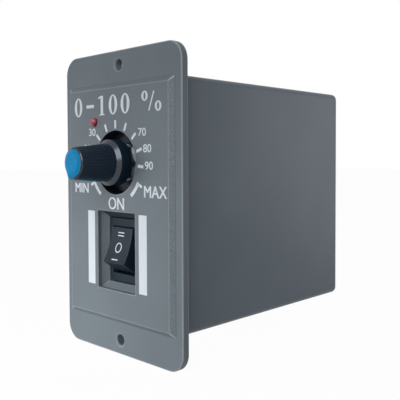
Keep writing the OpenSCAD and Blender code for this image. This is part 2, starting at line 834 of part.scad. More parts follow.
module rocker_spring() {
    r = tip_r - coil_wire;
    y0 = -rocker_front / 2 + coil_wire;
    len = pin_r - coil_wire - y0;
    count = coil_turns * coil_rings;
    rings = [for (i = [0:count])
        let (a = 360 * i / coil_rings, out = [cos(a), 0, sin(a)], y = y0 + len * i / count)
        ring_at(r * out + [0, y, 0], out, [0, 1, 0], coil_wire, coil_sides)];
    color(steel) at_pivot() rotate([-rocker_tilt, 0, 0]) tube(rings, coil_sides);
}

module seesaw_contact() {
    color(brass) translate([0, bar_y, switch_z]) rotate([bar_tilt, 0, 0]) {
        side_profile(bar_w, [[0, 0], [bar_bend, -bar_rise], [bar_half, -bar_rise],
            [bar_half, bar_t - bar_rise], [bar_bend, bar_t - bar_rise], [0, bar_t],
            [-bar_bend, bar_t - bar_rise], [-bar_half, bar_t - bar_rise],
            [-bar_half, -bar_rise], [-bar_bend, -bar_rise]]);
        intersection() {
            rotate([0, 90, 0]) cylinder(r = bar_pivot_r, h = bar_w, center = true);
            slab(0, bar_pivot_r) square([bar_w, 2 * bar_pivot_r], center = true);
        }
        for (s = [-1, 1]) at(0, s * (bar_half - button_d / 2))
            rod(button_d, bar_t - bar_rise - fit_gap, bar_t - bar_rise + button_t);
    }
}

module switch_terminals() {
    color(brass) at(0, switch_z) {
        // The middle blade ends in a cradle for the round back of the contact bar
        difference() {
            slab(bar_y + bar_t, blade_back) square([blade_w, blade_t], center = true);
            translate([0, bar_y, 0]) rotate([0, 90, 0])
                cylinder(r = bar_pivot_r + run_gap, h = 2 * blade_w, center = true);
        }
        for (s = [-1, 1]) at(0, s * (bar_half - button_d / 2)) {
            slab(fixed_y, blade_back) square([blade_w, blade_t], center = true);
            rod(button_d, fixed_y, fixed_y + button_t);
        }
    }
}

// Indicator
lead_pitch = 1.27;
lead_w = 0.5;
collar_t = 1;
collar_rise = 0.4;
lead_len = 8;
collar_back = field_back + collar_t;
lead_back = collar_back + lead_len;
module led_lens() {
    r = lens_d / 2;
    tip = field_face - lens_proud;
    color(lens_red) at(lens_x, lens_z) turned(concat([[0, tip]],
        [for (p = arc([0, tip + r], r, -90, 0, arc_steps)) if (p[0] > 0) p],
        [[r, field_back], [r + collar_rise, field_back], [r + collar_rise, collar_back],
        [0, collar_back]]));
}

module led_leads() {
    color(steel) for (s = [-1, 1]) at(lens_x + s * lead_pitch, lens_z)
        slab(collar_back, lead_back) square(lead_w, center = true);
}

// Circuit board and what stands on it. Places are shares of the board's length and height
chip_share = [0.58, -0.02];
header_a_share = [0.09, 0.04];
header_b_share = [0.3, -0.215];
header_c_share = [0.88, 0];
transformer_share = [0.71, -0.31];
fuse_share = [0.28, 0.4];
diode_share = [0.2, 0.2];
resistor_share = [0.2, 0.01];
trimmer_y_shares = [0.08, 0.22];

function board_spot(share) = [board_x, board_front + share[0] * board_l, share[1] * board_h];
// Local X is up, local Y is back and local Z stands out from the board
module on_board(share) {
    translate(board_spot(share)) rotate([0, -90, 0]) children();
}

module main_board() {
    hole = 3.2;
    inset = 5;
    color(board_green) difference() {
        translate([board_x, board_front, -board_h / 2]) cube([board_t, board_l, board_h]);
        for (y = [board_front + inset, board_back - inset], s = [-1, 1])
            translate([board_x - over, y, s * (board_h / 2 - 2 * inset)]) rotate([0, 90, 0])
                cylinder(d = hole, h = board_t + 2 * over);
    }
}

core_h = 25;
core_stack = 12;
limb = 10;
yoke = 5;
window_w = 5;
core_l = limb + 2 * window_w + 2 * yoke;
foot = 2;
former_t = 0.8;
coil_t = window_w - move_gap;
module transformer_core() {
    color("#8a8d90") on_board(transformer_share) translate([0, 0, foot]) difference() {
        block([core_stack, core_l, core_h]);
        for (s = [-1, 1]) translate([0, s * (limb + window_w) / 2, yoke])
            block([core_stack + 2 * over, window_w, core_h - 2 * yoke]);
    }
}

module limb_hole(h) {
    translate([0, 0, -over]) block([core_stack + 2 * fit_gap, limb + 2 * fit_gap, h + 2 * over]);
}

module transformer_bobbin() {
    h = core_h - 2 * yoke - 2 * fit_gap;
    wide = core_stack + 2 * coil_t;
    deep = limb + 2 * coil_t;
    color("#e8e2d0") on_board(transformer_share) {
        translate([0, 0, foot + yoke + fit_gap]) difference() {
            union() {
                block([wide, deep, former_t]);
                block([core_stack + 2 * former_t, limb + 2 * former_t, h]);
                translate([0, 0, h - former_t]) block([wide, deep, former_t]);
            }
            limb_hole(h);
        }
        for (s = [-1, 1]) translate([s * (wide - coil_t + fit_gap) / 2, 0, 0])
            block([coil_t - fit_gap, deep, foot + yoke + former_t]);
    }
}

module transformer_coil() {
    h = core_h - 2 * yoke - 2 * former_t - 4 * fit_gap;
    trim = move_gap;
    color(copper) on_board(transformer_share)
        translate([0, 0, foot + yoke + former_t + 2 * fit_gap]) difference() {
            linear_extrude(h) rounded_rect(core_stack + 2 * coil_t - trim,
                limb + 2 * coil_t - trim, coil_t / 2);
            translate([0, 0, -over])
                block([core_stack + 2 * former_t + 2 * fit_gap,
                    limb + 2 * former_t + 2 * fit_gap, h + 2 * over]);
        }
}

capacitor_d = 10;
capacitor_h = 20;
capacitor_gap = 0.7;
module filter_capacitors() {
    r = capacitor_d / 2;
    neck = capacitor_d / 8;
    color("#26384e") for (s = [-1, 1]) on_board(transformer_share)
        translate([s * (r + capacitor_gap / 2), -core_l / 2 - capacitor_gap - r, 0])
            rotate_extrude() polygon(concat([[0, 0], [r - neck / 4, 0], [r, neck / 4], [r, neck],
                [r - neck / 2, 3 * neck / 2], [r, 2 * neck]],
                arc([r - neck, capacitor_h - neck], neck, 0, 90, arc_steps),
                [[0, capacitor_h]]));
}

film_size = [15, 7, 9];
film_r = 1;
film_ease = 0.6;
film_gap = 1.5;
module film_capacitor() {
    up = (front_ways * header_pitch + film_size[0]) / 2 + film_gap;
    color("#c9a227") on_board(header_a_share) translate([up, (film_size[1] - header_w) / 2, 0])
        eased_plate(film_size[0], film_size[1], film_r, film_size[2], film_ease);
}

fuse_d = 5.2;
fuse_len = 20;
fuse_cap = 5;
fuse_up = 5.5;
module on_fuse() {
    on_board(fuse_share) translate([0, 0, fuse_up]) children();
}
module fuse() {
    r = fuse_d / 2;
    half = fuse_len / 2;
    neck = half - fuse_cap;
    color(steel) on_fuse() turned([[0, -half], [r, -half], [r, -neck], [r - fuse_d / 20, -neck],
        [r - fuse_d / 20, neck], [r, neck], [r, half], [0, half]]);
}

module fuse_clips() {
    clip_w = 3;
    sheet = 0.5;
    r = fuse_d / 2 + fit_gap;
    mid = (fuse_len - fuse_cap) / 2;
    color(brass) on_fuse() for (s = [-1, 1]) translate([0, s * mid, 0]) difference() {
        union() {
            rod(2 * (r + sheet), -clip_w / 2, clip_w / 2);
            translate([0, 0, -fuse_up]) block([r, clip_w, fuse_up - r / 2]);
        }
        rod(2 * r, -clip_w, clip_w);
        translate([0, 0, r / 2]) block([r, 2 * clip_w, 2 * r]);
    }
}

sink_l = 33;
sink_base = 3;
sink_reach = 25;
sink_up = 1;
fin_t = 1.4;
fin_rise = 17;
fin_count = 6;
sink_share = [0.72, 1 / 2 - (guide_rise + move_gap + sink_base + fin_rise) / board_h];
tab_t = 1.3;
device_w = 10;
device_t = 4.5;
device_low = 9;
device_h = 9.5;
tab_h = 6;
device_hole = 3.4;
screw_d = 3;
device_offset = 9;
hole_up = device_low + device_h + tab_h / 2;
module on_devices() {
    on_board(sink_share) for (s = [-1, 1]) translate([0, s * device_offset, 0]) children();
}

module heat_sink() {
    step = (sink_reach - fin_t) / (fin_count - 1);
    color("#9aa0a5") difference() {
        on_board(sink_share) {
            translate([sink_base / 2, 0, sink_up]) block([sink_base, sink_l, sink_reach]);
            for (i = [0:fin_count - 1])
                translate([sink_base + fin_rise / 2 - over / 2, 0, sink_up + i * step])
                    block([fin_rise + over, sink_l, fin_t]);
            for (s = [-1, 1]) translate([sink_base / 2, s * sink_l / 3, 0])
                block([sink_base / 2, sink_base, sink_up + over]);
        }
        on_devices() translate([-over, 0, hole_up]) rotate([0, 90, 0])
            cylinder(d = screw_d, h = sink_base + 2 * over);
    }
}

module thyristors() {
    leg_w = 0.9;
    leg_t = 0.5;
    leg_pitch = 2.54;
    color("#2a2c2e") on_devices() difference() {
        translate([-tab_t, 0, 0]) union() {
            translate([(tab_t - device_t) / 2 + tab_t / 2, 0, device_low])
                block([device_t, device_w, device_h]);
            translate([tab_t / 2, 0, device_low]) block([tab_t, device_w, device_h + tab_h]);
            for (k = [-1, 0, 1]) translate([-tab_t, k * leg_pitch, 0])
                block([leg_t, leg_w, device_low + over]);
        }
        translate([-device_t, 0, hole_up]) rotate([0, 90, 0])
            cylinder(d = device_hole, h = 2 * device_t);
    }
}

module thyristor_screws() {
    head_t = 2;
    head_d = 5.5;
    color(steel) on_devices() translate([0, 0, hole_up]) rotate([0, 90, 0]) {
        translate([0, 0, -tab_t]) cylinder(d = screw_d - 2 * fit_gap, h = tab_t + sink_base);
        translate([0, 0, -tab_t - head_t]) cylinder(d = head_d, h = head_t);
    }
}

// Part with a lead at each end that stands on the board, lying along local X
module axial(body_d, body_len, lead_d, span, up) {
    translate([-body_len / 2, 0, up]) rotate([0, 90, 0]) cylinder(d = body_d, h = body_len);
    translate([-span / 2, 0, up]) rotate([0, 90, 0]) cylinder(d = lead_d, h = span);
    for (s = [-1, 1]) translate([s * span / 2, 0, 0]) {
        cylinder(d = lead_d, h = up);
        translate([0, 0, up]) sphere(d = lead_d, $fn = 24);
    }
}

diode_count = 4;
diode_d = 4.8;
diode_len = 8.5;
diode_lead = 1;
diode_span = 12;
diode_pitch = 5.8;
diode_up = 3.8;
module rectifier_diodes() {
    color("#1f2123") on_board(diode_share) for (i = [0:diode_count - 1])
        translate([0, i * diode_pitch, 0])
            axial(diode_d, diode_len, diode_lead, diode_span, diode_up);
}

resistor_count = 6;
resistor_d = 2.3;
resistor_len = 6.2;
resistor_lead = 0.6;
resistor_span = 9;
resistor_pitch = 3.2;
module resistors() {
    color("#c8b58c") on_board(resistor_share) for (i = [0:resistor_count - 1])
        translate([0, i * resistor_pitch, 0])
            axial(resistor_d, resistor_len, resistor_lead, resistor_span, resistor_d);
}

chip_size = [6.4, 19.4, 3.3];
module control_chip() {
    pitch = 2.54;
    pairs = 7;
    stand = 0.6;
    leg = 0.5;
    color("#1c1d1f") on_board(chip_share) {
        translate([0, 0, stand]) difference() {
            block(chip_size);
            translate([0, -chip_size[1] / 2, chip_size[2] - stand])
                cylinder(d = chip_size[0] / 4, h = 2 * stand);
        }
        for (s = [-1, 1], i = [0:pairs - 1])
            translate([s * (chip_size[0] / 2 + leg / 2 - fit_gap), (i - (pairs - 1) / 2) * pitch, 0])
                block([leg, pitch / 2, stand + chip_size[2] / 2]);
    }
}

trimmer_size = [9.5, 5, 10];
module trimmers() {
    dial_d = 2.4;
    low_share = (guide_rise + trimmer_size[0] / 2) / board_h - 1 / 2;
    color("#2c5fa8") for (share = trimmer_y_shares) on_board([share, low_share]) difference() {
        union() {
            block(trimmer_size);
            translate([trimmer_size[0] / 3, 0, trimmer_size[2] - over])
                cylinder(d = dial_d, h = 2 * over);
        }
        translate([trimmer_size[0] / 3, 0, trimmer_size[2]]) block([dial_d / 5, dial_d * 2, over * 2]);
    }
}

// Headers with a socket for each wire, the row standing up the board
header_w = 4.5;
header_h = 8;
header_pitch = 2.8;
socket_deep = 2;
function socket_z(n, i) = (i - (n - 1) / 2) * header_pitch;
module header(share, n) {
    on_board(share) difference() {
        block([n * header_pitch, header_w, header_h]);
        for (i = [0:n - 1]) translate([socket_z(n, i), 0, header_h - socket_deep])
            cylinder(d = wire_d + 2 * fit_gap, h = socket_deep + over);
    }
}
pot_ways = 3;
led_ways = 2;
front_ways = pot_ways + led_ways;
switch_ways = 3;
plug_ways = 4;
module wire_headers() {
    color("#e9e6dc") {
        header(header_a_share, front_ways);
        header(header_b_share, switch_ways);
        header(header_c_share, plug_ways);
    }
}

// Wires run from a socket to a part's terminal on one smooth curve
wire_sides = 8;
wire_rings = 14;
function socket(share, n, i) = board_spot(share) + [socket_deep - header_h, 0, socket_z(n, i)];
function bow(a, u, b, v, t) = pow(1 - t, 3) * a + 3 * pow(1 - t, 2) * t * (a + u)
    + 3 * (1 - t) * t * t * (b + v) + pow(t, 3) * b;
function slope(a, u, b, v, t) = 3 * pow(1 - t, 2) * u
    + 6 * (1 - t) * t * (b + v - a - u) - 3 * t * t * v;
function unit(v) = v / norm(v);
// Straight out of the socket at a, then a curve to b, which it meets square to back
bow_share = 0.45;
wire_up = [0.1, 0.2, 1];
module wire(a, out, b, back) {
    top = a + socket_deep * out;
    reach = bow_share * norm(b - top);
    u = reach * out;
    v = reach * back;
    first = unit(cross(out, wire_up));
    rings = [for (i = [0:wire_rings])
        let (t = i / wire_rings, w = unit(slope(top, u, b, v, t)), side = unit(cross(w, wire_up)))
        ring_at(bow(top, u, b, v, t), side, cross(w, side), wire_d / 2, wire_sides)];
    tube(concat([ring_at(a, first, cross(out, first), wire_d / 2, wire_sides)], rings), wire_sides);
}
off_board = [-1, 0, 0];

module pot_wires() {
    color("#c8342c") for (i = [0:pot_ways - 1])
        wire(socket(header_a_share, front_ways, i), off_board,
            [(i - 1) * lug_pitch, lug_back, knob_z + lug_z], [0, 1, 0]);
}

module led_wires() {
    color("#e0c030") for (i = [0:led_ways - 1])
        wire(socket(header_a_share, front_ways, pot_ways + i), off_board,
            [lens_x + (i == 0 ? -lead_pitch : lead_pitch), lead_back, lens_z], [0, 1, 0]);
}

module switch_wires() {
    color("#2f62b0") for (i = [0:switch_ways - 1])
        wire(socket(header_b_share, switch_ways, i), off_board,
            [0, blade_back, switch_z + (i - 1) * (bar_half - button_d / 2)], [0, 1, 0]);
}

module plug_wires() {
    color("#303438") for (i = [0:plug_ways - 1]) {
        a = pin_step * (i + 1 / 2);
        wire(socket(header_c_share, plug_ways, plug_ways - 1 - i), off_board,
            [pin_circle / 2 * sin(a), tail_front, pin_circle / 2 * cos(a)], [0, -1, 0]);
    }
}

front_panel();
body_shell();
plug_base();
plug_pins();
plug_screws();
knob();
knob_cap();
pot_shaft();
pot_wiper();
pot_bushing();
pot_case();
pot_nut();
pot_washer();
pot_track();
pot_lugs();
switch_housing();
rocker();
rocker_plunger();
rocker_spring();
seesaw_contact();
switch_terminals();
led_lens();
led_leads();
main_board();
transformer_core();
transformer_bobbin();
transformer_coil();
filter_capacitors();
film_capacitor();
fuse();
fuse_clips();
heat_sink();
thyristors();
thyristor_screws();
rectifier_diodes();
control_chip();
trimmers();
resistors();
wire_headers();
pot_wires();
switch_wires();
led_wires();
plug_wires();
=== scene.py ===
import json
import math

import bpy
from mathutils import Matrix, Vector


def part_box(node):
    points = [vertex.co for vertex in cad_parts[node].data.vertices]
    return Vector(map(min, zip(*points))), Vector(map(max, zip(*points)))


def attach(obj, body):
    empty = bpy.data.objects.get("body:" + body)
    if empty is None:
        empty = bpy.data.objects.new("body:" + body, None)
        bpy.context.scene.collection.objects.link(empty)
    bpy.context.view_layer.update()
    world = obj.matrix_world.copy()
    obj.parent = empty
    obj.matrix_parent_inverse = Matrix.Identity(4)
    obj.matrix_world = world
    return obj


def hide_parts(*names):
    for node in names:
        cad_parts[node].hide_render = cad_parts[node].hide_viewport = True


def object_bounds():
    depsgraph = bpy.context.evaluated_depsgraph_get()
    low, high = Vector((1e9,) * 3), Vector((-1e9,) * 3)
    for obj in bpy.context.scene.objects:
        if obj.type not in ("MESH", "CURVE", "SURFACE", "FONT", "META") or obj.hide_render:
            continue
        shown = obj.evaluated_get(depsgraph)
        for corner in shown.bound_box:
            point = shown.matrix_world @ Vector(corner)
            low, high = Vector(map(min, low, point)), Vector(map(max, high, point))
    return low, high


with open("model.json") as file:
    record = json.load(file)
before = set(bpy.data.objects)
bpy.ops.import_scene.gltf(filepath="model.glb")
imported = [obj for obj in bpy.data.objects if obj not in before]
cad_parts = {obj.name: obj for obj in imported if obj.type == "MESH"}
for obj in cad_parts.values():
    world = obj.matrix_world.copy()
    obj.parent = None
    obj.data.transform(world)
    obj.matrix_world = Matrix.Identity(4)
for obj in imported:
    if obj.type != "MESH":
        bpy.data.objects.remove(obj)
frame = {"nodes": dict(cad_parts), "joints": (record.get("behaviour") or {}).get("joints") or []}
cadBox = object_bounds()
nodes = frame["nodes"]
jointPlaces = {joint["name"]: Vector(joint["pos_m"]) for joint in frame["joints"]}
knobAxis, rockerAxis = jointPlaces["knob_turn"], jointPlaces["rocker_tilt"]
mm = 0.001  # sizes in the dictionaries are in millimetres, unless a note says otherwise
touching = 1e-6  # metres under which two points count as one
print("frame loaded:", len(nodes), "nodes")


# Small helpers for working on one piece at a time
def deselectAll():
    if bpy.context.object and bpy.context.object.mode != "OBJECT":
        bpy.ops.object.mode_set(mode="OBJECT")
    bpy.ops.object.select_all(action="DESELECT")


def workOn(piece):
    deselectAll()
    piece.select_set(True)
    bpy.context.view_layer.objects.active = piece


def editVertices(piece, rule):
    # leaves the piece in edit mode with only the vertices that the rule picks
    workOn(piece)
    bpy.ops.object.mode_set(mode="EDIT")
    bpy.ops.mesh.select_mode(type="VERT")
    bpy.ops.mesh.select_all(action="DESELECT")
    bpy.ops.object.mode_set(mode="OBJECT")
    for vertex in piece.data.vertices:
        vertex.select = rule(vertex.co)
    bpy.ops.object.mode_set(mode="EDIT")


def applyModifiers(piece):
    workOn(piece)
    for modifier in list(piece.modifiers):
        bpy.ops.object.modifier_apply(modifier=modifier.name)


def bakePlace(piece):
    # place, turn and scale go into the mesh, so that the object sits at the origin
    workOn(piece)
    bpy.ops.object.transform_apply(location=True, rotation=True, scale=True)


def joinPieces(pieces):
    deselectAll()
    for piece in pieces:
        piece.select_set(True)
    bpy.context.view_layer.objects.active = pieces[0]
    bpy.ops.object.join()
    return bpy.context.object


def copyPiece(piece):
    other = piece.copy()
    other.data = piece.data.copy()
    bpy.context.scene.collection.objects.link(other)
    return other


def finishPiece(piece, name, material, body="root"):
    bakePlace(piece)
    piece.name = piece.data.name = name
    piece.data.materials.clear()
    piece.data.materials.append(material)
    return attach(piece, body)


def colour(code):
    # sRGB hex code to the linear colour that the shaders use
    parts = [int(code[i:i + 2], 16) / 255 for i in (1, 3, 5)]
    return [p / 12.92 if p <= 0.04045 else ((p + 0.055) / 1.055) ** 2.4 for p in parts] + [1]


# Shader groups, built once and placed in each material with its own values
def newGroup(name, inputs, outputs):
    group = bpy.data.node_groups.new(name, "ShaderNodeTree")
    for way, sockets in (("INPUT", inputs), ("OUTPUT", outputs)):
        for label, kind in sockets:
            group.interface.new_socket(name=label, in_out=way, socket_type="NodeSocket" + kind)
    return group, group.nodes.new("NodeGroupInput"), group.nodes.new("NodeGroupOutput")


def mathNode(tree, operation, first, second=None):
    node = tree.nodes.new("ShaderNodeMath")
    node.operation = operation
    for socket, value in zip(node.inputs, (first, second)):
        if isinstance(value, (int, float)):
            socket.default_value = value
        elif value is not None:
            tree.links.new(value, socket)
    return node.outputs[0]


def noiseNode(tree, vector, scale, detail, roughness=0.5):
    node = tree.nodes.new("ShaderNodeTexNoise")
    node.inputs["Detail"].default_value = detail
    node.inputs["Roughness"].default_value = roughness
    tree.links.new(vector, node.inputs["Vector"])
    if isinstance(scale, (int, float)):
        node.inputs["Scale"].default_value = scale
    else:
        tree.links.new(scale, node.inputs["Scale"])
    return node.outputs["Fac"]


def spread(tree, value, fromLow, fromHigh, toLow=0.0, toHigh=1.0):
    node = tree.nodes.new("ShaderNodeMapRange")
    node.interpolation_type = "SMOOTHSTEP"
    for label, number in zip(("From Min", "From Max", "To Min", "To Max"),
                             (fromLow, fromHigh, toLow, toHigh)):
        node.inputs[label].default_value = number
    tree.links.new(value, node.inputs["Value"])
    return node.outputs["Result"]


def mixColours(tree, share, first, second):
    node = tree.nodes.new("ShaderNodeMix")
    node.data_type = "RGBA"
    for socket, value in zip((node.inputs[0], node.inputs[6], node.inputs[7]), (share, first, second)):
        if isinstance(value, (int, float, list)):
            socket.default_value = value
        else:
            tree.links.new(value, socket)
    return node.outputs[2]


# Mould skin: fine pits over coarser ones, and a slow flow of tone. Each pair is the range of
# noise that runs from none to full
skinPattern = {"coarser": 4.0, "fineShare": 0.75, "pits": (0.32, 0.68), "flow": (0.3, 0.7)}


def makeMouldGrain():
    group, ins, outs = newGroup(
        "mouldGrain", [("Vector", "Vector"), ("Grain Size", "Float"), ("Flow Size", "Float")],
        [("Height", "Float"), ("Tone", "Float"), ("Flow", "Float")])
    place = ins.outputs["Vector"]
    fineScale = mathNode(group, "DIVIDE", 1.0, ins.outputs["Grain Size"])
    coarseScale = mathNode(group, "DIVIDE", fineScale, skinPattern["coarser"])
    slowScale = mathNode(group, "DIVIDE", 1.0, ins.outputs["Flow Size"])
    fine = noiseNode(group, place, fineScale, detail=2.0, roughness=0.6)
    coarse = noiseNode(group, place, coarseScale, detail=3.0)
    slow = noiseNode(group, place, slowScale, detail=2.0, roughness=0.4)
    height = mathNode(group, "ADD", mathNode(group, "MULTIPLY", fine, skinPattern["fineShare"]),
                      mathNode(group, "MULTIPLY", coarse, 1 - skinPattern["fineShare"]))
    group.links.new(height, outs.inputs["Height"])
    group.links.new(spread(group, height, *skinPattern["pits"]), outs.inputs["Tone"])
    group.links.new(spread(group, slow, *skinPattern["flow"]), outs.inputs["Flow"])
    return group


# Rounds each sharp edge in the shading, and masks where the normal turns by more than the range
edgePattern = {"samples": 6, "turn": (0.002, 0.02)}


def makeSoftEdge():
    group, ins, outs = newGroup("softEdge", [("Radius", "Float")],
                                [("Normal", "Vector"), ("Edge", "Float")])
    bevel = group.nodes.new("ShaderNodeBevel")
    bevel.samples = edgePattern["samples"]
    group.links.new(ins.outputs["Radius"], bevel.inputs["Radius"])
    geometry = group.nodes.new("ShaderNodeNewGeometry")
    dot = group.nodes.new("ShaderNodeVectorMath")
    dot.operation = "DOT_PRODUCT"
    group.links.new(bevel.outputs["Normal"], dot.inputs[0])
    group.links.new(geometry.outputs["Normal"], dot.inputs[1])
    turned = mathNode(group, "SUBTRACT", 1.0, dot.outputs["Value"])
    group.links.new(spread(group, turned, *edgePattern["turn"]), outs.inputs["Edge"])
    group.links.new(bevel.outputs["Normal"], outs.inputs["Normal"])
    return group


# Fine turning marks along Y, broken up by stains
lathePattern = {"stretch": (0.04, 1.0, 0.04), "stainScale": 420.0, "stain": (0.35, 0.7)}


def makeLatheLines():
    group, ins, outs = newGroup("latheLines", [("Vector", "Vector"), ("Pitch", "Float")],
                                [("Height", "Float"), ("Stain", "Float")])
    stretch = group.nodes.new("ShaderNodeVectorMath")
    stretch.operation = "MULTIPLY"
    stretch.inputs[1].default_value = lathePattern["stretch"]
    group.links.new(ins.outputs["Vector"], stretch.inputs[0])
    lineScale = mathNode(group, "DIVIDE", 1.0, ins.outputs["Pitch"])
    lines = noiseNode(group, stretch.outputs["Vector"], lineScale, detail=3.0, roughness=0.6)
    stain = noiseNode(group, ins.outputs["Vector"], lathePattern["stainScale"],
                      detail=4.0, roughness=0.6)
    group.links.new(lines, outs.inputs["Height"])
    group.links.new(spread(group, stain, *lathePattern["stain"]), outs.inputs["Stain"])
    return group


mouldGrain = makeMouldGrain()
softEdge = makeSoftEdge()
latheLines = makeLatheLines()


def startMaterial(name):
    material = bpy.data.materials.new(name)
    material.use_nodes = True
    tree = material.node_tree
    coords = tree.nodes.new("ShaderNodeTexCoord").outputs["Object"]
    return material, tree, tree.nodes["Principled BSDF"], coords


def placeGroup(tree, group, values, vector=None):
    node = tree.nodes.new("ShaderNodeGroup")
    node.node_tree = group
    for label, value in values.items():
        node.inputs[label].default_value = value
    if vector is not None:
        tree.links.new(vector, node.inputs["Vector"])
    return node


def addBump(tree, shader, height, distance, normal=None):
    bump = tree.nodes.new("ShaderNodeBump")
    bump.inputs["Distance"].default_value = distance
    tree.links.new(height, bump.inputs["Height"])
    if normal is not None:
        tree.links.new(normal, bump.inputs["Normal"])
    tree.links.new(bump.outputs["Normal"], shader.inputs["Normal"])


# How far the roughness swings with the pits or lines, and how much a rubbed edge shows
plasticSheen = {"smoother": 0.05, "rougher": 0.06, "gloss": 0.28}
metalSheen = {"smoother": 0.06, "rougher": 0.1, "lines": (0.3, 0.7), "edgeShare": 0.5}


def swing(look, sheen):
    return look["rough"] - sheen["smoother"], look["rough"] + sheen["rougher"]


def mouldedPlastic(name, look):
    material, tree, shader, coords = startMaterial(name)
    grain = placeGroup(tree, mouldGrain,
                       {"Grain Size": look["grain"] * mm, "Flow Size": look["flow"] * mm}, coords)
    edge = placeGroup(tree, softEdge, {"Radius": look["edge"] * mm})
    tone = mixColours(tree, grain.outputs["Flow"], colour(look["deep"]), colour(look["colour"]))
    pitted = mixColours(tree, mathNode(tree, "MULTIPLY", grain.outputs["Tone"], look["contrast"]),
                        tone, colour(look["light"]))
    # Edges lightened towards the light colour: partly rubbed wear, partly a painted highlight
    worn = mixColours(tree, mathNode(tree, "MULTIPLY", edge.outputs["Edge"], look["edgeWearAndHighlight"]),
                      pitted, colour(look["light"]))
    tree.links.new(worn, shader.inputs["Base Color"])
    tree.links.new(spread(tree, grain.outputs["Tone"], 0.0, 1.0, *swing(look, plasticSheen)),
                   shader.inputs["Roughness"])
    shader.inputs["Specular IOR Level"].default_value = look.get("gloss", plasticSheen["gloss"])
    addBump(tree, shader, grain.outputs["Height"], look["depth"] * mm, edge.outputs["Normal"])
    return material, tree, shader, coords, {"worn": worn, "edge": edge.outputs["Edge"]}


def machinedMetal(name, look):
    material, tree, shader, coords = startMaterial(name)
    lines = placeGroup(tree, latheLines, {"Pitch": look["pitch"] * mm}, coords)
    edge = placeGroup(tree, softEdge, {"Radius": look["edge"] * mm})
    stained = mixColours(tree, lines.outputs["Stain"], colour(look["colour"]), colour(look["stain"]))
    rubbed = mathNode(tree, "MULTIPLY", edge.outputs["Edge"], metalSheen["edgeShare"])
    tree.links.new(mixColours(tree, rubbed, stained, colour(look["bright"])), shader.inputs["Base Color"])
    tree.links.new(spread(tree, lines.outputs["Height"], *metalSheen["lines"], *swing(look, metalSheen)),
                   shader.inputs["Roughness"])
    shader.inputs["Metallic"].default_value = 1.0
    addBump(tree, shader, lines.outputs["Height"], look["depth"] * mm, edge.outputs["Normal"])
    return material


# Plastics: grain, flow of tone, rounding of edges and depth of the grain are their sizes
# The share that lightens each plastic's edges towards its light colour is partly rubbed wear and partly a
# painted highlight
panelLook = {"colour": "#687379", "deep": "#636d74", "light": "#aab2b7", "contrast": 0.1, "edgeWearAndHighlight": 0.7,
             "grain": 0.22, "flow": 26, "edge": 0.45, "depth": 0.012, "rough": 0.48}
shellLook = {"colour": "#616d76", "deep": "#5a6670", "light": "#8d969e", "contrast": 0.1, "edgeWearAndHighlight": 0.4,
             "grain": 0.26, "flow": 30, "edge": 0.3, "depth": 0.012, "rough": 0.42}
knobLook = {"colour": "#17293a", "deep": "#122333", "light": "#4b5b67", "contrast": 0.12, "edgeWearAndHighlight": 0.5,
            "grain": 0.2, "flow": 6, "edge": 0.12, "depth": 0.008, "rough": 0.34, "gloss": 0.14}
capLook = {"colour": "#0086bc", "deep": "#0080b4", "light": "#7cc8e8", "contrast": 0.06, "edgeWearAndHighlight": 0.62,
           "grain": 0.18, "flow": 4, "edge": 0.24, "depth": 0.006, "rough": 0.36, "gloss": 0.08}
switchLook = {"colour": "#17232e", "deep": "#131e29", "light": "#556370", "contrast": 0.14, "edgeWearAndHighlight": 0.5,
              "grain": 0.2, "flow": 8, "edge": 0.16, "depth": 0.012, "rough": 0.42, "gloss": 0.15}
plugLook = {"colour": "#1b1d20", "deep": "#151719", "light": "#3a3d41", "contrast": 0.14, "edgeWearAndHighlight": 0.4,
            "grain": 0.24, "flow": 12, "edge": 0.2, "depth": 0.01, "rough": 0.45}

# What the plain small parts of the circuit share
smallPartLook = {"contrast": 0.14, "edgeWearAndHighlight": 0.3, "grain": 0.2, "flow": 8, "edge": 0.12, "depth": 0.008}


def plainPlastic(name, body, deep, light, rough):
    look = {"colour": body, "deep": deep, "light": light, "rough": rough, **smallPartLook}
    return mouldedPlastic(name, look)[0]


def knobRadius(tree, parts):
    # distance from the knob's axis, which runs along Y
    up = mathNode(tree, "SUBTRACT", parts.outputs["Z"], knobAxis.z)
    squares = [mathNode(tree, "POWER", side, 2.0) for side in (parts.outputs["X"], up)]
    return mathNode(tree, "SQRT", mathNode(tree, "ADD", *squares))


def upTo(tree, value, high, ease):
    # 1 as far as that place, falling to 0 over the ease behind it
    return spread(tree, value, high * mm, (high + ease) * mm, 1.0, 0.0)


def within(tree, value, low, high, ease):
    # 1 between the two places, falling to 0 over the ease on either side
    above = spread(tree, value, (low - ease) * mm, low * mm)
    return mathNode(tree, "MULTIPLY", above, upTo(tree, value, high, ease))


# The panel's well gets painted shade inside its rim. The slope at the side of the raised field is
# stippled, with a painted highlight along its mitres and at its corners, and painted shade runs in the
# crease where it meets the flange. The rounded rim of the flange gets a painted highlight, but not the
# screw holes, which lie inside the strip that "inside" and "middle" give. Painted shade darkens the
# recess where its roof faces down
wellPaintedShade = {"radius": 10.55, "front": -4.4, "back": 9.0, "ease": 0.06, "colour": "#1a2733"}
fieldSlope = {"front": -4.3, "back": -3.15, "ease": 0.1, "side": 25.7, "colour": "#a9b0b4",
              "stipple": (0.1, 0.52), "gritScale": 3800.0, "gritNoise": (0.45, 0.62), "mitreHighlight": 0.42}
fieldFootShade = {"front": -3.3, "back": -2.95, "ease": 0.08, "wide": 28.2, "high": 40.4, "colour": "#5c656c"}
rimPaintedHighlight = {"leastTilt": 0.3, "mostTilt": 0.93, "ease": 0.06, "inside": 47.8, "middle": 4.0,
             "colour": "#b6bec2", "share": 0.62}
fieldCornerHighlight = {"offset": -12.2, "half": 0.17, "ease": 0.08, "colour": "#d4dadc", "share": 0.8}
recessRoofShade = {"wide": 9.7, "front": -4.35, "back": 1.3, "low": -12.0, "high": -2.0, "ease": 0.1,
              "downward": (-0.3, -0.2), "colour": "#28323b"}


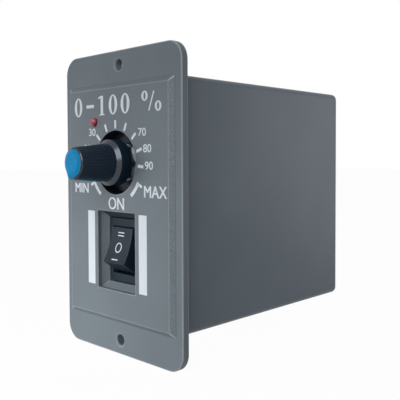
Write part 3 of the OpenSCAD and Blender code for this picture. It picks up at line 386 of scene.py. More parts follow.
def makePanelPlastic():
    material, tree, shader, coords, tones = mouldedPlastic("panelPlastic", panelLook)
    parts = tree.nodes.new("ShaderNodeSeparateXYZ")
    tree.links.new(coords, parts.inputs[0])
    facing = tree.nodes.new("ShaderNodeSeparateXYZ")
    tree.links.new(tree.nodes.new("ShaderNodeNewGeometry").outputs["Normal"], facing.inputs[0])
    along, up = parts.outputs["Y"], parts.outputs["Z"]
    across = mathNode(tree, "ABSOLUTE", parts.outputs["X"])
    upOrDown = mathNode(tree, "ABSOLUTE", up)
    tilt = mathNode(tree, "ABSOLUTE", facing.outputs["Y"])

    def both(first, second):
        return mathNode(tree, "MULTIPLY", first, second)

    def span(value, look, low, high):
        return within(tree, value, look[low], look[high], look["ease"])

    def oblong(look, wide, high):
        return both(upTo(tree, across, look[wide], look["ease"]),
                    upTo(tree, upOrDown, look[high], look["ease"]))

    def coat(mask, under, look):
        return mixColours(tree, mask, under, colour(look["colour"]))

    field = oblong(fieldFootShade, "wide", "high")
    # Painted shade in the crease at the foot of the field
    shade = coat(both(both(field, tones["edge"]), span(along, fieldFootShade, "front", "back")),
                 tones["worn"], fieldFootShade)
    # Painted highlight on faces tilted between front and side, outside the field and the screw holes
    rubbed = both(spread(tree, tilt, rimPaintedHighlight["leastTilt"], rimPaintedHighlight["leastTilt"] + rimPaintedHighlight["ease"]),
                  spread(tree, tilt, rimPaintedHighlight["mostTilt"] - rimPaintedHighlight["ease"], rimPaintedHighlight["mostTilt"],
                         1.0, 0.0))
    screwHoles = oblong(rimPaintedHighlight, "middle", "inside")
    outside = mathNode(tree, "SUBTRACT", 1.0, mathNode(tree, "MAXIMUM", field, screwHoles))
    shade = coat(both(both(outside, rubbed), rimPaintedHighlight["share"]), shade, rimPaintedHighlight)
    slope = both(within(tree, across, fieldSlope["side"], fieldFootShade["wide"], fieldSlope["ease"]),
                 span(along, fieldSlope, "front", "back"))
    grit = noiseNode(tree, coords, fieldSlope["gritScale"], detail=2.0)
    stipple = spread(tree, grit, *fieldSlope["gritNoise"], *fieldSlope["stipple"])
    # Painted highlight along the slope's mitres, laid over the stipple
    mitreHighlight = both(tones["edge"], fieldSlope["mitreHighlight"])
    shade = coat(both(slope, mathNode(tree, "MAXIMUM", stipple, mitreHighlight)), shade, fieldSlope)
    # Painted highlight along the field's corner mitres
    diagonal = mathNode(tree, "SUBTRACT", across, upOrDown)
    corner = within(tree, diagonal, fieldCornerHighlight["offset"] - fieldCornerHighlight["half"],
                    fieldCornerHighlight["offset"] + fieldCornerHighlight["half"], fieldCornerHighlight["ease"])
    shade = coat(both(both(corner, slope), fieldCornerHighlight["share"]), shade, fieldCornerHighlight)
    # Painted shade on the recess roof, where it faces down
    downward = spread(tree, facing.outputs["Z"], *recessRoofShade["downward"], 1.0, 0.0)
    roofShade = both(both(upTo(tree, across, recessRoofShade["wide"], recessRoofShade["ease"]), downward),
                both(span(along, recessRoofShade, "front", "back"), span(up, recessRoofShade, "low", "high")))
    shade = coat(roofShade, shade, recessRoofShade)
    radius = knobRadius(tree, parts)
    # Painted shade inside the knob's well
    well = both(upTo(tree, radius, wellPaintedShade["radius"], wellPaintedShade["ease"]),
                span(along, wellPaintedShade, "front", "back"))
    tree.links.new(coat(well, shade, wellPaintedShade), shader.inputs["Base Color"])
    return material


panelPlastic = makePanelPlastic()
shellPlastic = mouldedPlastic("shellPlastic", shellLook)[0]
capPlastic = mouldedPlastic("capPlastic", capLook)[0]
switchPlastic = mouldedPlastic("switchPlastic", switchLook)[0]
plugPlastic = mouldedPlastic("plugPlastic", plugLook)[0]


# Two bands on the knob, made grey and metallic as a painted sheen on the black plastic, by their inner
# radius and their places in front and behind: the slope of the skirt and the rounded front edge of the
# grip
knobSheenBands = {"skirtSlope": {"inner": 6.13, "front": -8.75, "back": -7.4},
             "gripEdge": {"inner": 4.5, "front": -20.8, "back": -20.15}}
sheenBandLook = {"colour": "#43474c", "rough": 0.22, "innerEase": 0.1, "ease": 0.05}


def makeKnobPlastic():
    material, tree, shader, coords, tones = mouldedPlastic("knobPlastic", knobLook)
    parts = tree.nodes.new("ShaderNodeSeparateXYZ")
    tree.links.new(coords, parts.inputs[0])
    radius = knobRadius(tree, parts)
    masks = []
    for band in knobSheenBands.values():
        outside = spread(tree, radius, band["inner"] * mm, (band["inner"] + sheenBandLook["innerEase"]) * mm)
        length = within(tree, parts.outputs["Y"], band["front"], band["back"], sheenBandLook["ease"])
        masks.append(mathNode(tree, "MULTIPLY", outside, length))
    paintedSheen = mathNode(tree, "MAXIMUM", *masks)
    tree.links.new(mixColours(tree, paintedSheen, tones["worn"], colour(sheenBandLook["colour"])),
                   shader.inputs["Base Color"])
    tree.links.new(spread(tree, paintedSheen, 0.0, 1.0, knobLook["rough"], sheenBandLook["rough"]),
                   shader.inputs["Roughness"])
    tree.links.new(paintedSheen, shader.inputs["Metallic"])
    return material


knobPlastic = makeKnobPlastic()
print("plastics ready")


# Metals
steelMetal = machinedMetal("steelMetal", {"colour": "#b4b8bc", "stain": "#9a9fa5", "bright": "#e2e5e8",
                                          "pitch": 0.12, "edge": 0.12, "depth": 0.006, "rough": 0.3})
brassMetal = machinedMetal("brassMetal", {"colour": "#c8a45a", "stain": "#a9853f", "bright": "#ecd08f",
                                          "pitch": 0.15, "edge": 0.1, "depth": 0.006, "rough": 0.3})
zincMetal = machinedMetal("zincMetal", {"colour": "#a5a39c", "stain": "#8d8b85", "bright": "#cfcdc6",
                                        "pitch": 0.2, "edge": 0.1, "depth": 0.008, "rough": 0.42})
sinkMetal = machinedMetal("sinkMetal", {"colour": "#9da3a8", "stain": "#868c92", "bright": "#c9ced2",
                                        "pitch": 0.3, "edge": 0.15, "depth": 0.01, "rough": 0.4})


# Stacked sheets show as lines across local height, under stains of varnish
stackPattern = {"bandFactor": 20, "distortion": 0.3, "stainScale": 260.0, "stain": (0.5, 0.75),
                "rough": (0.6, 0.38), "metal": 0.8}


def laminatedSteel(name, look):
    material, tree, shader, coords = startMaterial(name)
    wave = tree.nodes.new("ShaderNodeTexWave")
    wave.bands_direction = "Z"
    wave.inputs["Scale"].default_value = 1 / (look["sheet"] * mm) / stackPattern["bandFactor"]
    wave.inputs["Distortion"].default_value = stackPattern["distortion"]
    tree.links.new(coords, wave.inputs["Vector"])
    stain = spread(tree, noiseNode(tree, coords, stackPattern["stainScale"], detail=4.0),
                   *stackPattern["stain"])
    base = mixColours(tree, wave.outputs["Fac"], colour(look["gap"]), colour(look["sheetColour"]))
    tree.links.new(mixColours(tree, stain, base, colour(look["varnish"])), shader.inputs["Base Color"])
    tree.links.new(spread(tree, wave.outputs["Fac"], 0.0, 1.0, *stackPattern["rough"]),
                   shader.inputs["Roughness"])
    shader.inputs["Metallic"].default_value = stackPattern["metal"]
    addBump(tree, shader, wave.outputs["Fac"], look["depth"] * mm)
    return material


coreMetal = laminatedSteel("coreMetal", {"sheet": 0.5, "gap": "#4a4d50", "sheetColour": "#8f9396",
                                         "varnish": "#6d6a5c", "depth": 0.04})
windingWire = laminatedSteel("windingWire", {"sheet": 0.35, "gap": "#5e3415", "sheetColour": "#b8743a",
                                             "varnish": "#94582a", "depth": 0.08})
print("metals ready")


# Small parts of the circuit
phenolicBrown = plainPlastic("phenolicBrown", "#7a4a2a", "#6b3f22", "#96653f", 0.5)
plungerNylon = plainPlastic("plungerNylon", "#d8d3c6", "#cbc5b5", "#efece3", 0.4)
bobbinNylon = plainPlastic("bobbinNylon", "#e4ddca", "#d6cdb4", "#f3efe3", 0.45)
epoxyBlack = plainPlastic("epoxyBlack", "#1c1d20", "#161719", "#3b3d41", 0.55)
trimmerBlue = plainPlastic("trimmerBlue", "#2a5fa6", "#235292", "#5c8ac6", 0.4)
resistorBuff = plainPlastic("resistorBuff", "#c9b68e", "#bba67c", "#e0d3b4", 0.5)
headerWhite = plainPlastic("headerWhite", "#e6e2d6", "#d9d4c5", "#f4f2ea", 0.45)
sleeveBlue = plainPlastic("sleeveBlue", "#24364c", "#1e2e42", "#475c76", 0.3)
filmYellow = plainPlastic("filmYellow", "#c99f28", "#b98f1e", "#e2c161", 0.35)
wireRed = plainPlastic("wireRed", "#b92a24", "#a3221d", "#d9655d", 0.4)
wireBlue = plainPlastic("wireBlue", "#2b5ba6", "#234d90", "#6389c4", 0.4)
wireYellow = plainPlastic("wireYellow", "#d9b92e", "#c6a722", "#ecd873", 0.4)
wireGrey = plainPlastic("wireGrey", "#3a3e43", "#313539", "#63686e", 0.4)

# Board: tracks in rows at a header's pitch, with the weave of the laminate showing through
boardLook = {"mask": "#2a6a48", "track": "#3f8460", "pitch": 2.54, "pitches": 3.5, "gap": 0.5,
             "weave": "#9fc6ae", "weaveScale": 2600.0, "weaveShare": 0.12, "weaveNoise": (0.3, 0.7),
             "rough": 0.34, "smoother": 0.06, "rougher": 0.08, "depth": 0.03}


def makeBoardLaminate():
    material, tree, shader, coords = startMaterial("boardLaminate")
    parts = tree.nodes.new("ShaderNodeSeparateXYZ")
    tree.links.new(coords, parts.inputs[0])
    flat = tree.nodes.new("ShaderNodeCombineXYZ")
    tree.links.new(parts.outputs["Y"], flat.inputs["X"])
    tree.links.new(parts.outputs["Z"], flat.inputs["Y"])
    tracks = tree.nodes.new("ShaderNodeTexBrick")
    tracks.inputs["Scale"].default_value = 1 / mm
    tracks.inputs["Brick Width"].default_value = boardLook["pitches"] * boardLook["pitch"]
    tracks.inputs["Row Height"].default_value = boardLook["pitch"]
    tracks.inputs["Mortar Size"].default_value = boardLook["gap"] / 2
    tree.links.new(flat.outputs[0], tracks.inputs["Vector"])
    weave = noiseNode(tree, coords, boardLook["weaveScale"], detail=2.0)
    base = mixColours(tree, tracks.outputs["Fac"], colour(boardLook["track"]), colour(boardLook["mask"]))
    woven = mathNode(tree, "MULTIPLY", weave, boardLook["weaveShare"])
    tree.links.new(mixColours(tree, woven, base, colour(boardLook["weave"])), shader.inputs["Base Color"])
    tree.links.new(spread(tree, weave, *boardLook["weaveNoise"], *swing(boardLook, boardLook)),
                   shader.inputs["Roughness"])
    addBump(tree, shader, tracks.outputs["Fac"], boardLook["depth"] * mm)
    return material


# Glass or tinted resin, with a little cloud in its tint and its gloss
clearPattern = {"tint": (0.35, 0.65), "haze": (0.3, 0.7), "least": 0.6, "most": 1.5, "index": 1.5}


def clearShell(name, look):
    material, tree, shader, coords = startMaterial(name)
    cloud = noiseNode(tree, coords, look["cloudScale"], detail=3.0)
    tree.links.new(mixColours(tree, spread(tree, cloud, *clearPattern["tint"]), colour(look["colour"]),
                              colour(look["deep"])), shader.inputs["Base Color"])
    tree.links.new(spread(tree, cloud, *clearPattern["haze"], look["rough"] * clearPattern["least"],
                          look["rough"] * clearPattern["most"]), shader.inputs["Roughness"])
    shader.inputs["Transmission Weight"].default_value = look["clear"]
    shader.inputs["Coat Weight"].default_value = look["coat"]
    shader.inputs["IOR"].default_value = clearPattern["index"]
    return material


boardLaminate = makeBoardLaminate()
fuseGlass = clearShell("fuseGlass", {"colour": "#dfe6e8", "deep": "#cbd4d8", "cloudScale": 300.0,
                                     "rough": 0.12, "clear": 0.7, "coat": 0.0})
lensResin = clearShell("lensResin", {"colour": "#ac0f3c", "deep": "#8c0a2e", "cloudScale": 160.0,
                                     "rough": 0.12, "clear": 0.0, "coat": 0.8})

nodeFinishes = {
    "front_panel": panelPlastic, "body_shell": shellPlastic, "plug_base": plugPlastic,
    "plug_pins": brassMetal, "plug_screws": steelMetal, "knob": knobPlastic, "knob_cap": capPlastic,
    "pot_shaft": steelMetal, "pot_wiper": plungerNylon, "pot_bushing": zincMetal,
    "pot_case": steelMetal, "pot_nut": steelMetal, "pot_washer": steelMetal,
    "pot_track": phenolicBrown, "pot_lugs": brassMetal, "switch_housing": switchPlastic,
    "rocker": switchPlastic, "rocker_plunger": plungerNylon, "rocker_spring": steelMetal,
    "seesaw_contact": brassMetal, "switch_terminals": brassMetal, "led_lens": lensResin,
    "led_leads": steelMetal, "main_board": boardLaminate, "transformer_core": coreMetal,
    "transformer_bobbin": bobbinNylon, "transformer_coil": windingWire,
    "filter_capacitors": sleeveBlue, "film_capacitor": filmYellow, "fuse": fuseGlass,
    "fuse_clips": brassMetal, "heat_sink": sinkMetal, "thyristors": epoxyBlack,
    "thyristor_screws": steelMetal, "rectifier_diodes": epoxyBlack, "control_chip": epoxyBlack,
    "trimmers": trimmerBlue, "resistors": resistorBuff, "wire_headers": headerWhite,
    "pot_wires": wireRed, "switch_wires": wireBlue, "led_wires": wireYellow,
    "plug_wires": wireGrey}
for nodeName, finish in nodeFinishes.items():
    for slot in nodes[nodeName].material_slots:
        slot.material = finish
    if not nodes[nodeName].material_slots:
        nodes[nodeName].data.materials.append(finish)
print("CAD nodes finished")


# Cap of the knob: a disc drawn out to the tip of the pointer, with a sloping edge all round
capShape = {"radius": 4.25, "tip": 5.3, "pointerWide": 1.2, "thick": 1.7, "slope": 1.2, "slopeDeep": 0.6,
            "around": 120, "turn": 158.0, "stripInner": 4.25, "stripFront": 0.75, "stripBack": 11.9,
            "stripFlare": 1.3}
capEdges = {"drop": {"width": 0.12, "segments": 3, "angle": 15},
            "strip": {"width": 0.12, "segments": 2, "angle": 30}}


def faceAlongY(place, turn):
    # a drawing made flat in X and Y stands up to face the user, turned about its own middle
    return (Matrix.Translation(place) @ Matrix.Rotation(math.radians(90), 4, "X")
            @ Matrix.Rotation(math.radians(turn), 4, "Z"))


def placeOnKnob(piece, y):
    piece.matrix_world = faceAlongY((knobAxis.x, y, knobAxis.z), capShape["turn"])
    bakePlace(piece)
    return piece


def softenEdges(piece, edges):
    bevel = piece.modifiers.new("soften", "BEVEL")
    bevel.width = edges["width"] * mm
    bevel.segments = edges["segments"]
    bevel.limit_method = "ANGLE"
    bevel.angle_limit = math.radians(edges["angle"])
    applyModifiers(piece)
    bpy.ops.object.shade_smooth_by_angle(angle=math.radians(edges["angle"]))
    return piece


def makeCapDrop():
    radius, tip, half = capShape["radius"], capShape["tip"], capShape["pointerWide"] / 2
    lean = math.atan2(half, tip) + math.acos(radius / math.hypot(half, tip))
    bpy.ops.mesh.primitive_circle_add(vertices=capShape["around"], radius=radius * mm)
    drop = bpy.context.object
    editVertices(drop, lambda co: abs(math.atan2(co.x, co.y)) < lean)
    bpy.ops.mesh.delete(type="VERT")
    bpy.ops.object.mode_set(mode="OBJECT")
    for side in (-1, 1):
        ends = [v.co for v in drop.data.vertices if v.co.x * side > 0 and v.co.y < radius * mm]
        end = min(ends, key=lambda co: abs(math.atan2(co.x, co.y))).copy()
        editVertices(drop, lambda co: (co - end).length < touching)
        reach = Vector((side * half, tip, 0)) * mm - end
        bpy.ops.mesh.extrude_region_move(TRANSFORM_OT_translate={"value": reach})
        bpy.ops.object.mode_set(mode="OBJECT")
    editVertices(drop, lambda co: True)
    bpy.ops.mesh.edge_face_add()
    bpy.ops.mesh.extrude_region_move(
        TRANSFORM_OT_translate={"value": (0, 0, (capShape["thick"] - capShape["slopeDeep"]) * mm)})
    bpy.ops.mesh.inset(thickness=capShape["slope"] * mm, depth=capShape["slopeDeep"] * mm)
    bpy.ops.mesh.select_all(action="SELECT")
    bpy.ops.mesh.normals_make_consistent(inside=False)
    bpy.ops.object.mode_set(mode="OBJECT")
    return softenEdges(drop, capEdges["drop"])


def makePointerStrip():
    # runs down the grip behind the tip, and leans out with the grip's taper
    bpy.ops.mesh.primitive_cube_add(size=1)
    strip = bpy.context.object
    deep = capShape["stripBack"]
    high = capShape["tip"] - capShape["stripInner"]
    strip.scale = (capShape["pointerWide"] * mm, high * mm, deep * mm)
    strip.location = (0, (capShape["tip"] - high / 2) * mm, -deep / 2 * mm)
    bakePlace(strip)
    editVertices(strip, lambda co: co.z < -deep / 2 * mm)
    bpy.ops.transform.translate(value=(0, capShape["stripFlare"] * mm, 0))
    bpy.ops.object.mode_set(mode="OBJECT")
    return softenEdges(strip, capEdges["strip"])


def makeKnobCap():
    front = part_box("knob_cap")[0].y
    drop = placeOnKnob(makeCapDrop(), front + capShape["thick"] * mm)
    strip = placeOnKnob(makePointerStrip(), front + capShape["stripFront"] * mm)
    cap = finishPiece(joinPieces([drop, strip]), "knobCap", capPlastic, "knob_unit")
    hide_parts("knob_cap")


makeKnobCap()
print("knob cap made")

# Ink for the dial and the signs, worn thin in small patches
inkLook = {"colour": "#d6dce4", "thin": "#c3cbd5", "rough": 0.48, "smoother": 0.05, "rougher": 0.1,
           "coverScale": 2200.0, "worn": (0.55, 0.8), "sheen": (0.3, 0.7), "depth": 0.004, "thick": 0.025}


def makePrintInk():
    material, tree, shader, coords = startMaterial("printInk")
    cover = noiseNode(tree, coords, inkLook["coverScale"], detail=3.0, roughness=0.6)
    tree.links.new(mixColours(tree, spread(tree, cover, *inkLook["worn"]), colour(inkLook["colour"]),
                              colour(inkLook["thin"])), shader.inputs["Base Color"])
    tree.links.new(spread(tree, cover, *inkLook["sheen"], *swing(inkLook, inkLook)),
                   shader.inputs["Roughness"])
    addBump(tree, shader, cover, inkLook["depth"] * mm)
    return material


printInk = makePrintInk()
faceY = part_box("front_panel")[0].y


def thickenInk(piece):
    # a flat print gets its real thickness, and stands on the surface behind it
    solid = piece.modifiers.new("ink", "SOLIDIFY")
    solid.thickness = inkLook["thick"] * mm
    solid.offset = 1.0
    applyModifiers(piece)
    return piece


def turnForward(piece):
    # a flat drawing shows its front to the user of the panel
    if piece.data.polygons[0].normal.y > 0:
        workOn(piece)
        bpy.ops.object.mode_set(mode="EDIT")
        bpy.ops.mesh.select_all(action="SELECT")
        bpy.ops.mesh.flip_normals()
        bpy.ops.object.mode_set(mode="OBJECT")
    return piece


def layOnField(piece, x, z, turn=0.0):
    # turned clockwise about the panel's normal and set on the field's face
    piece.matrix_world = faceAlongY((x * mm, faceY, z * mm), -turn)
    bakePlace(piece)
    return turnForward(piece)


# How a screen prints: corners of bars rounded, rings in steps, and the share of a letter's size
# that is the height of its capitals
screenPrint = {"corner": 0.12, "tightCorner": 0.1, "thinCorner": 0.08, "cornerSteps": 3,
               "ringSteps": 48, "capitals": 0.72}


def inkBar(width, height, corner=screenPrint["corner"]):
    bpy.ops.mesh.primitive_plane_add(size=1)
    bar = bpy.context.object
    bar.scale = (width * mm, height * mm, 1)
    bakePlace(bar)
    editVertices(bar, lambda co: True)
    bpy.ops.mesh.bevel(offset=corner * mm, segments=screenPrint["cornerSteps"], affect="VERTICES")
    bpy.ops.object.mode_set(mode="OBJECT")
    return bar


def inkText(words, height, squeeze, bolder=0.0):
    bpy.ops.object.text_add()
    sign = bpy.context.object
    sign.data.body = words
    sign.data.align_x = "CENTER"
    sign.data.align_y = "CENTER"
    sign.data.size = height / screenPrint["capitals"] * mm
    sign.data.offset = bolder * height * mm
    workOn(sign)
    bpy.ops.object.convert(target="MESH")
    sign = bpy.context.object
    sign.scale = (squeeze, 1, 1)
    bakePlace(sign)
    return sign


# Dial: a tick at each ten, numbers at both sides, and a thick mark at each end
dial = {"ticks": 11, "stepAngle": 23.6, "tickInner": 11.3, "tickOuter": 14.0, "tickWide": 0.95,
        "tickShift": (0.15, -0.25), "endOuter": 15.4, "endInner": 13.1, "endAngle": 118.0,
        "arcInner": 12.6, "arcWide": 1.2, "arcSweep": 26.0, "arcSteps": 360,
        "numberHigh": 2.55, "numberSqueeze": 1.12, "numberWiden": 0.05, "numberBolder": 0.012,
        "numbers": {"10": (-17.0, 12.55), "20": (-15.3, 18.0), "30": (-12.6, 23.45),
                    "70": (13.55, 22.8), "80": (16.0, 17.7), "90": (16.75, 12.35)}}


def makeDialTicks():
    master = inkBar(dial["tickWide"], dial["tickOuter"] - dial["tickInner"])
    middle = (dial["tickOuter"] + dial["tickInner"]) / 2
    ticks = []
    for step in range(1, dial["ticks"] - 1):
        angle = (step - (dial["ticks"] - 1) / 2) * dial["stepAngle"]
        tick = copyPiece(master)
        across, up = middle * math.sin(math.radians(angle)), middle * math.cos(math.radians(angle))
        ticks.append(layOnField(tick, knobAxis.x / mm + dial["tickShift"][0] + across,
                                knobAxis.z / mm + dial["tickShift"][1] + up, angle))
    bpy.data.objects.remove(master)
    return joinPieces(ticks)


def makeEndMarks():
    marks = []
    for side in (-1, 1):
        bpy.ops.mesh.primitive_circle_add(vertices=dial["arcSteps"], radius=dial["arcInner"] * mm)
        arc = bpy.context.object
        low, high = dial["endAngle"], dial["endAngle"] + dial["arcSweep"]
        editVertices(arc, lambda co: not low <= math.degrees(math.atan2(side * co.x, co.y)) <= high)
        bpy.ops.mesh.delete(type="VERT")
        bpy.ops.mesh.select_all(action="SELECT")
        bpy.ops.mesh.extrude_region_move(TRANSFORM_OT_translate={"value": (0, 0, 0)})
        grow = 1 + dial["arcWide"] / dial["arcInner"]
        bpy.ops.transform.resize(value=(grow, grow, 1), center_override=(0, 0, 0))
        bpy.ops.object.mode_set(mode="OBJECT")
        marks.append(layOnField(arc, knobAxis.x / mm, knobAxis.z / mm))
        middle = (dial["endInner"] + dial["endOuter"]) / 2
        tick = inkBar(dial["tickWide"], dial["endOuter"] - dial["endInner"])
        turn = side * (low + math.degrees(dial["tickWide"] / 2 / middle))
        marks.append(layOnField(tick, knobAxis.x / mm + middle * math.sin(math.radians(turn)),
                                knobAxis.z / mm + middle * math.cos(math.radians(turn)), turn))
    return joinPieces(marks)


def turnOutward(piece):
    # every face of a thick print points away from its inside
    editVertices(piece, lambda co: True)
    bpy.ops.mesh.normals_make_consistent(inside=False)
    bpy.ops.object.mode_set(mode="OBJECT")
    return piece


def widenStrokes(piece, width):
    twin = copyPiece(piece)
    for half, side in ((piece, -0.5), (twin, 0.5)):
        half.location.x = side * width * mm
        bakePlace(half)
    union = piece.modifiers.new("widen", "BOOLEAN")
    union.operation = "UNION"
    union.object = twin
    applyModifiers(piece)
    bpy.data.objects.remove(twin)
    return piece


finishPiece(turnOutward(thickenInk(makeDialTicks())), "dialTicks", printInk)
finishPiece(turnOutward(thickenInk(makeEndMarks())), "dialEndMarks", printInk)
for words, place in dial["numbers"].items():
    figures = inkText(words, dial["numberHigh"], dial["numberSqueeze"], dial["numberBolder"])
    number = turnOutward(thickenInk(layOnField(figures, *place)))
    finishPiece(widenStrokes(number, dial["numberWiden"]), "dialNumber" + words, printInk)
print("dial printed")

# Words at the ends of the dial and over the switch. Each stroke is widened by joining the print
# with a shifted copy of itself
wordSqueeze = 0.95
signs = {"minSign": {"word": "MIN", "high": 3.5, "place": (-18.9, 4.45), "widen": 0.18},
         "maxSign": {"word": "MAX", "high": 3.8, "place": (19.5, 4.2), "widen": 0.2},
         "onSign": {"word": "ON", "high": 4.1, "place": (0.4, -0.2), "widen": 0.2}}
for name, look in signs.items():
    sign = layOnField(inkText(look["word"], look["high"], wordSqueeze), *look["place"])
    finishPiece(widenStrokes(turnOutward(thickenInk(sign)), look["widen"]), name, printInk)

switchBars = {"width": 3.85, "height": 24.9, "left": -13.4, "right": 13.6, "z": -15.45}
for name, side in (("switchBarLeft", "left"), ("switchBarRight", "right")):
    bar = inkBar(switchBars["width"], switchBars["height"])
    layOnField(bar, switchBars[side], switchBars["z"])
    finishPiece(turnOutward(thickenInk(bar)), name, printInk)

# Title band: a plain range in tall narrow figures with thick uprights and thin serifs. The places
# of its signs are counted in steps from one figure to the next
title = {"high": 6.5, "z": 32.3, "x": 1.1, "figureWide": 4.5, "stem": 1.35, "hair": 0.4, "serif": 3.2,
         "gap": 1.5}
titlePlaces = {"first": -3.6, "dash": -2.45, "one": -1.35, "zeroLeft": -0.35, "zeroRight": 0.7,
               "ringLeft": 2.3, "ringRight": 3.35, "slash": 2.83}
titleDash = {"wide": 0.95, "high": 0.8}
titleRing = {"wide": 0.66, "high": 0.48, "stem": 0.7}
titleSlash = {"wide": 1.3, "high": 0.98, "turn": 22.0}

# The figure one, measured in hairs: what lies beyond its shaft, the three drops of its foot, its
# top and how far its flag falls. The foot first widens by "flare", and the flag is in stems
oneShape = {"beyondShaft": 3.0, "foot": (0.7, 0.3, 0.5), "flare": 1.5, "top": 1.5, "flagDown": 1.2,
            "flagOut": 0.95}


def figureZero(width, height, stem, hair):
    bpy.ops.mesh.primitive_circle_add(vertices=screenPrint["ringSteps"], radius=mm / 2)
    ring = bpy.context.object
    ring.scale = (width, height, 1)
    bakePlace(ring)
    editVertices(ring, lambda co: True)
    bpy.ops.mesh.extrude_region_move(TRANSFORM_OT_translate={"value": (0, 0, 0)})
    bpy.ops.transform.resize(value=(1 - 2 * stem / width, 1 - 2 * hair / height, 1),
                             center_override=(0, 0, 0))
    bpy.ops.object.mode_set(mode="OBJECT")
    return ring


def figureOne():
    stem, hair = title["stem"], title["hair"]
    shaft = title["high"] - oneShape["beyondShaft"] * hair
    bpy.ops.mesh.primitive_plane_add(size=1)
    one = bpy.context.object
    one.scale = (stem * mm, shaft * mm, 1)
    bakePlace(one)
    editVertices(one, lambda co: co.y < touching - shaft / 2 * mm)
    widths = (oneShape["flare"], title["serif"] / stem / oneShape["flare"], 1.0)
    for drop, widen in zip(oneShape["foot"], widths):
        bpy.ops.mesh.extrude_region_move(TRANSFORM_OT_translate={"value": (0, -drop * hair * mm, 0)})
        bpy.ops.transform.resize(value=(widen, 1, 1), center_override=(0, 0, 0))
    highest = shaft / 2 * mm - touching
    editVertices(one, lambda co: co.y > highest)
    bpy.ops.mesh.extrude_region_move(
        TRANSFORM_OT_translate={"value": (0, oneShape["top"] * hair * mm, 0)})
    bpy.ops.object.mode_set(mode="OBJECT")
    editVertices(one, lambda co: co.y > highest and co.x < 0)
    flag = (-oneShape["flagOut"] * stem * mm, -oneShape["flagDown"] * hair * mm, 0)
    bpy.ops.mesh.extrude_region_move(TRANSFORM_OT_translate={"value": flag})
    bpy.ops.object.mode_set(mode="OBJECT")
    return one


def makeTitle():
    high, wide, stem, hair = title["high"], title["figureWide"], title["stem"], title["hair"]
    small = high * titleRing["high"]
    drawn = []

    def put(sign, piece, z=0.0, turn=0.0):
        x = titlePlaces[sign] * (wide + title["gap"])
        drawn.append(layOnField(piece, title["x"] + x, title["z"] + z, turn))

    def ring():
        return figureZero(wide * titleRing["wide"], small, stem * titleRing["stem"], hair)

    put("first", figureZero(wide, high, stem, hair))
    put("dash", inkBar(wide * titleDash["wide"], stem * titleDash["high"], screenPrint["tightCorner"]))
    put("one", figureOne())
    for sign in ("zeroLeft", "zeroRight"):
        put(sign, figureZero(wide, high, stem, hair))
    put("ringLeft", ring(), (high - small) / 2)
    put("ringRight", ring(), (small - high) / 2)
    put("slash", inkBar(hair * titleSlash["wide"], high * titleSlash["high"], screenPrint["thinCorner"]),
        0.0, titleSlash["turn"])
    return joinPieces(drawn)


finishPiece(turnOutward(thickenInk(makeTitle())), "titleRange", printInk)
print("signs printed")

# Signs on the rocker, laid on its hollow face: two lines, a ring and one line
rockerSigns = {"rest": -18.0, "wide": 3.1, "line": 0.36, "twinPitch": 1.04, "twinUp": 2.9,
               "ringWide": 3.1, "ringHigh": 3.4, "ringUp": -1.65, "lineUp": -5.6,
               "side": -0.15, "ahead": 9.0, "lift": 0.004}


def layOnRocker(piece, up):
    # held in front of the face in the rocker's own slant, then pressed back onto it
    slant = Matrix.Rotation(math.radians(rockerSigns["rest"]), 4, "X")
    ahead = Vector((rockerSigns["side"], -rockerSigns["ahead"], up)) * mm
    piece.matrix_world = Matrix.Translation(rockerAxis) @ slant @ faceAlongY(ahead, 0.0)
    bakePlace(piece)
    press = piece.modifiers.new("press", "SHRINKWRAP")
    press.target = nodes["rocker"]
    press.wrap_method = "PROJECT"
    press.use_project_y = True
    press.use_positive_direction = True
    press.offset = rockerSigns["lift"] * mm
    applyModifiers(piece)
    return turnForward(piece)


def makeRockerSigns():
    line = rockerSigns["line"]
    laid = []

    def putLine(up):
        laid.append(layOnRocker(inkBar(rockerSigns["wide"], line, screenPrint["tightCorner"]), up))

    for side in (-1, 1):
        putLine(rockerSigns["twinUp"] + side * rockerSigns["twinPitch"] / 2)
    laid.append(layOnRocker(figureZero(rockerSigns["ringWide"], rockerSigns["ringHigh"], line, line),
                            rockerSigns["ringUp"]))
    putLine(rockerSigns["lineUp"])
    return joinPieces(laid)


finishPiece(turnOutward(thickenInk(makeRockerSigns())), "rockerSigns", printInk, body="rocker_unit")
print("rocker marked")

# Floor and background, white to the camera, with the object's soft shadow kept
floorLook = {"colour": "#e2e3e4", "white": 0.975, "rough": 0.9, "size": 6.0, "drop": 0.4}


def whenSeen(tree):
    path = tree.nodes.new("ShaderNodeLightPath")
    seen = mathNode(tree, "MAXIMUM", path.outputs["Is Camera Ray"], path.outputs["Is Glossy Ray"])
    return mathNode(tree, "MAXIMUM", seen, path.outputs["Is Transmission Ray"])


def makeFloor():
    bpy.ops.mesh.primitive_plane_add(size=floorLook["size"])
    floor = bpy.context.object
    floor.location.z = cadBox[0].z - floorLook["drop"] * mm
    bakePlace(floor)
    floor.name = "studioFloor"
    material, tree, shader = startMaterial("studioPaper")[:3]
    shader.inputs["Base Color"].default_value = colour(floorLook["colour"])
    shader.inputs["Roughness"].default_value = floorLook["rough"]
    glow = tree.nodes.new("ShaderNodeEmission")
    blend = tree.nodes.new("ShaderNodeMixShader")
    tree.links.new(mathNode(tree, "MULTIPLY", whenSeen(tree), floorLook["white"]), blend.inputs[0])
    tree.links.new(shader.outputs[0], blend.inputs[1])
    tree.links.new(glow.outputs[0], blend.inputs[2])
    tree.links.new(blend.outputs[0], tree.nodes["Material Output"].inputs["Surface"])
    floor.data.materials.append(material)


worldLook = {"fill": "#e4e9ef", "strength": 0.12}


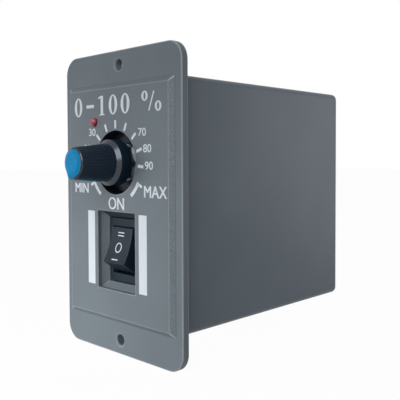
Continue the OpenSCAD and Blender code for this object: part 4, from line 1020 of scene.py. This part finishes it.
def makeWorld():
    world = bpy.data.worlds.new("studioRoom")
    bpy.context.scene.world = world
    world.use_nodes = True
    tree = world.node_tree
    room = tree.nodes["Background"]
    room.inputs["Color"].default_value = colour(worldLook["fill"])
    room.inputs["Strength"].default_value = worldLook["strength"]
    white = tree.nodes.new("ShaderNodeBackground")
    white.inputs["Color"].default_value = (1, 1, 1, 1)
    blend = tree.nodes.new("ShaderNodeMixShader")
    tree.links.new(whenSeen(tree), blend.inputs[0])
    tree.links.new(room.outputs[0], blend.inputs[1])
    tree.links.new(white.outputs[0], blend.inputs[2])
    tree.links.new(blend.outputs[0], tree.nodes["World Output"].inputs["Surface"])


makeFloor()
makeWorld()

# Soft boxes: place, aim, width and height in metres, power in watts, spread in degrees
softBoxes = {
    "keyBox": {"place": (0.2, -0.45, 0.3), "aim": (0, 0, 0),
               "width": 0.35, "height": 0.35, "power": 1.4, "spread": 180},
    "lowBox": {"place": (-0.12, -0.22, 0.02), "aim": (-0.02, 0, -0.08),
               "width": 0.08, "height": 0.08, "power": 0.06, "spread": 60},
    "topBox": {"place": (0.0, 0.12, 0.6), "aim": (0, 0.04, 0),
               "width": 0.4, "height": 0.4, "power": 0.24, "spread": 180},
    "backBox": {"place": (0.17, 0.27, 0.03), "aim": (0.026, 0.09, -0.01),
                "width": 0.12, "height": 0.2, "power": 0.14, "spread": 180}}
for name, box in softBoxes.items():
    lamp = bpy.data.lights.new(name, "AREA")
    lamp.shape = "RECTANGLE"
    lamp.size = box["width"]
    lamp.size_y = box["height"]
    lamp.energy = box["power"]
    lamp.spread = math.radians(box["spread"])
    holder = bpy.data.objects.new(name, lamp)
    holder.location = box["place"]
    holder.visible_camera = False
    towards = Vector(box["aim"]) - Vector(box["place"])
    holder.rotation_euler = towards.to_track_quat("-Z", "Y").to_euler()
    bpy.context.scene.collection.objects.link(holder)
print("studio lit")

# Camera, solved from the photograph's straight edges and the part's real sizes
photoView = {"place": (159.85, -126.42, 14.90), "yaw": 43.50, "pitch": 1.84, "roll": -0.18,
             "focalPixels": 609.7, "imagePixels": 400, "centrePixel": (213.6, 177.2), "sensor": 36,
             "nearest": 0.01}


def makeCamera():
    data = bpy.data.cameras.new("photoCamera")
    data.sensor_width = photoView["sensor"]
    data.lens = photoView["sensor"] * photoView["focalPixels"] / photoView["imagePixels"]
    half = photoView["imagePixels"] / 2
    data.shift_x = (half - photoView["centrePixel"][0]) / photoView["imagePixels"]
    data.shift_y = (photoView["centrePixel"][1] - half) / photoView["imagePixels"]
    data.clip_start = photoView["nearest"]
    camera = bpy.data.objects.new("photoCamera", data)
    turn = (Matrix.Rotation(math.radians(photoView["yaw"]), 4, "Z")
            @ Matrix.Rotation(math.radians(90 - photoView["pitch"]), 4, "X")
            @ Matrix.Rotation(math.radians(photoView["roll"]), 4, "Z"))
    camera.matrix_world = Matrix.Translation(Vector(photoView["place"]) * mm) @ turn
    bpy.context.scene.collection.objects.link(camera)
    bpy.context.scene.camera = camera


makeCamera()
bpy.context.scene.view_settings.view_transform = "Standard"
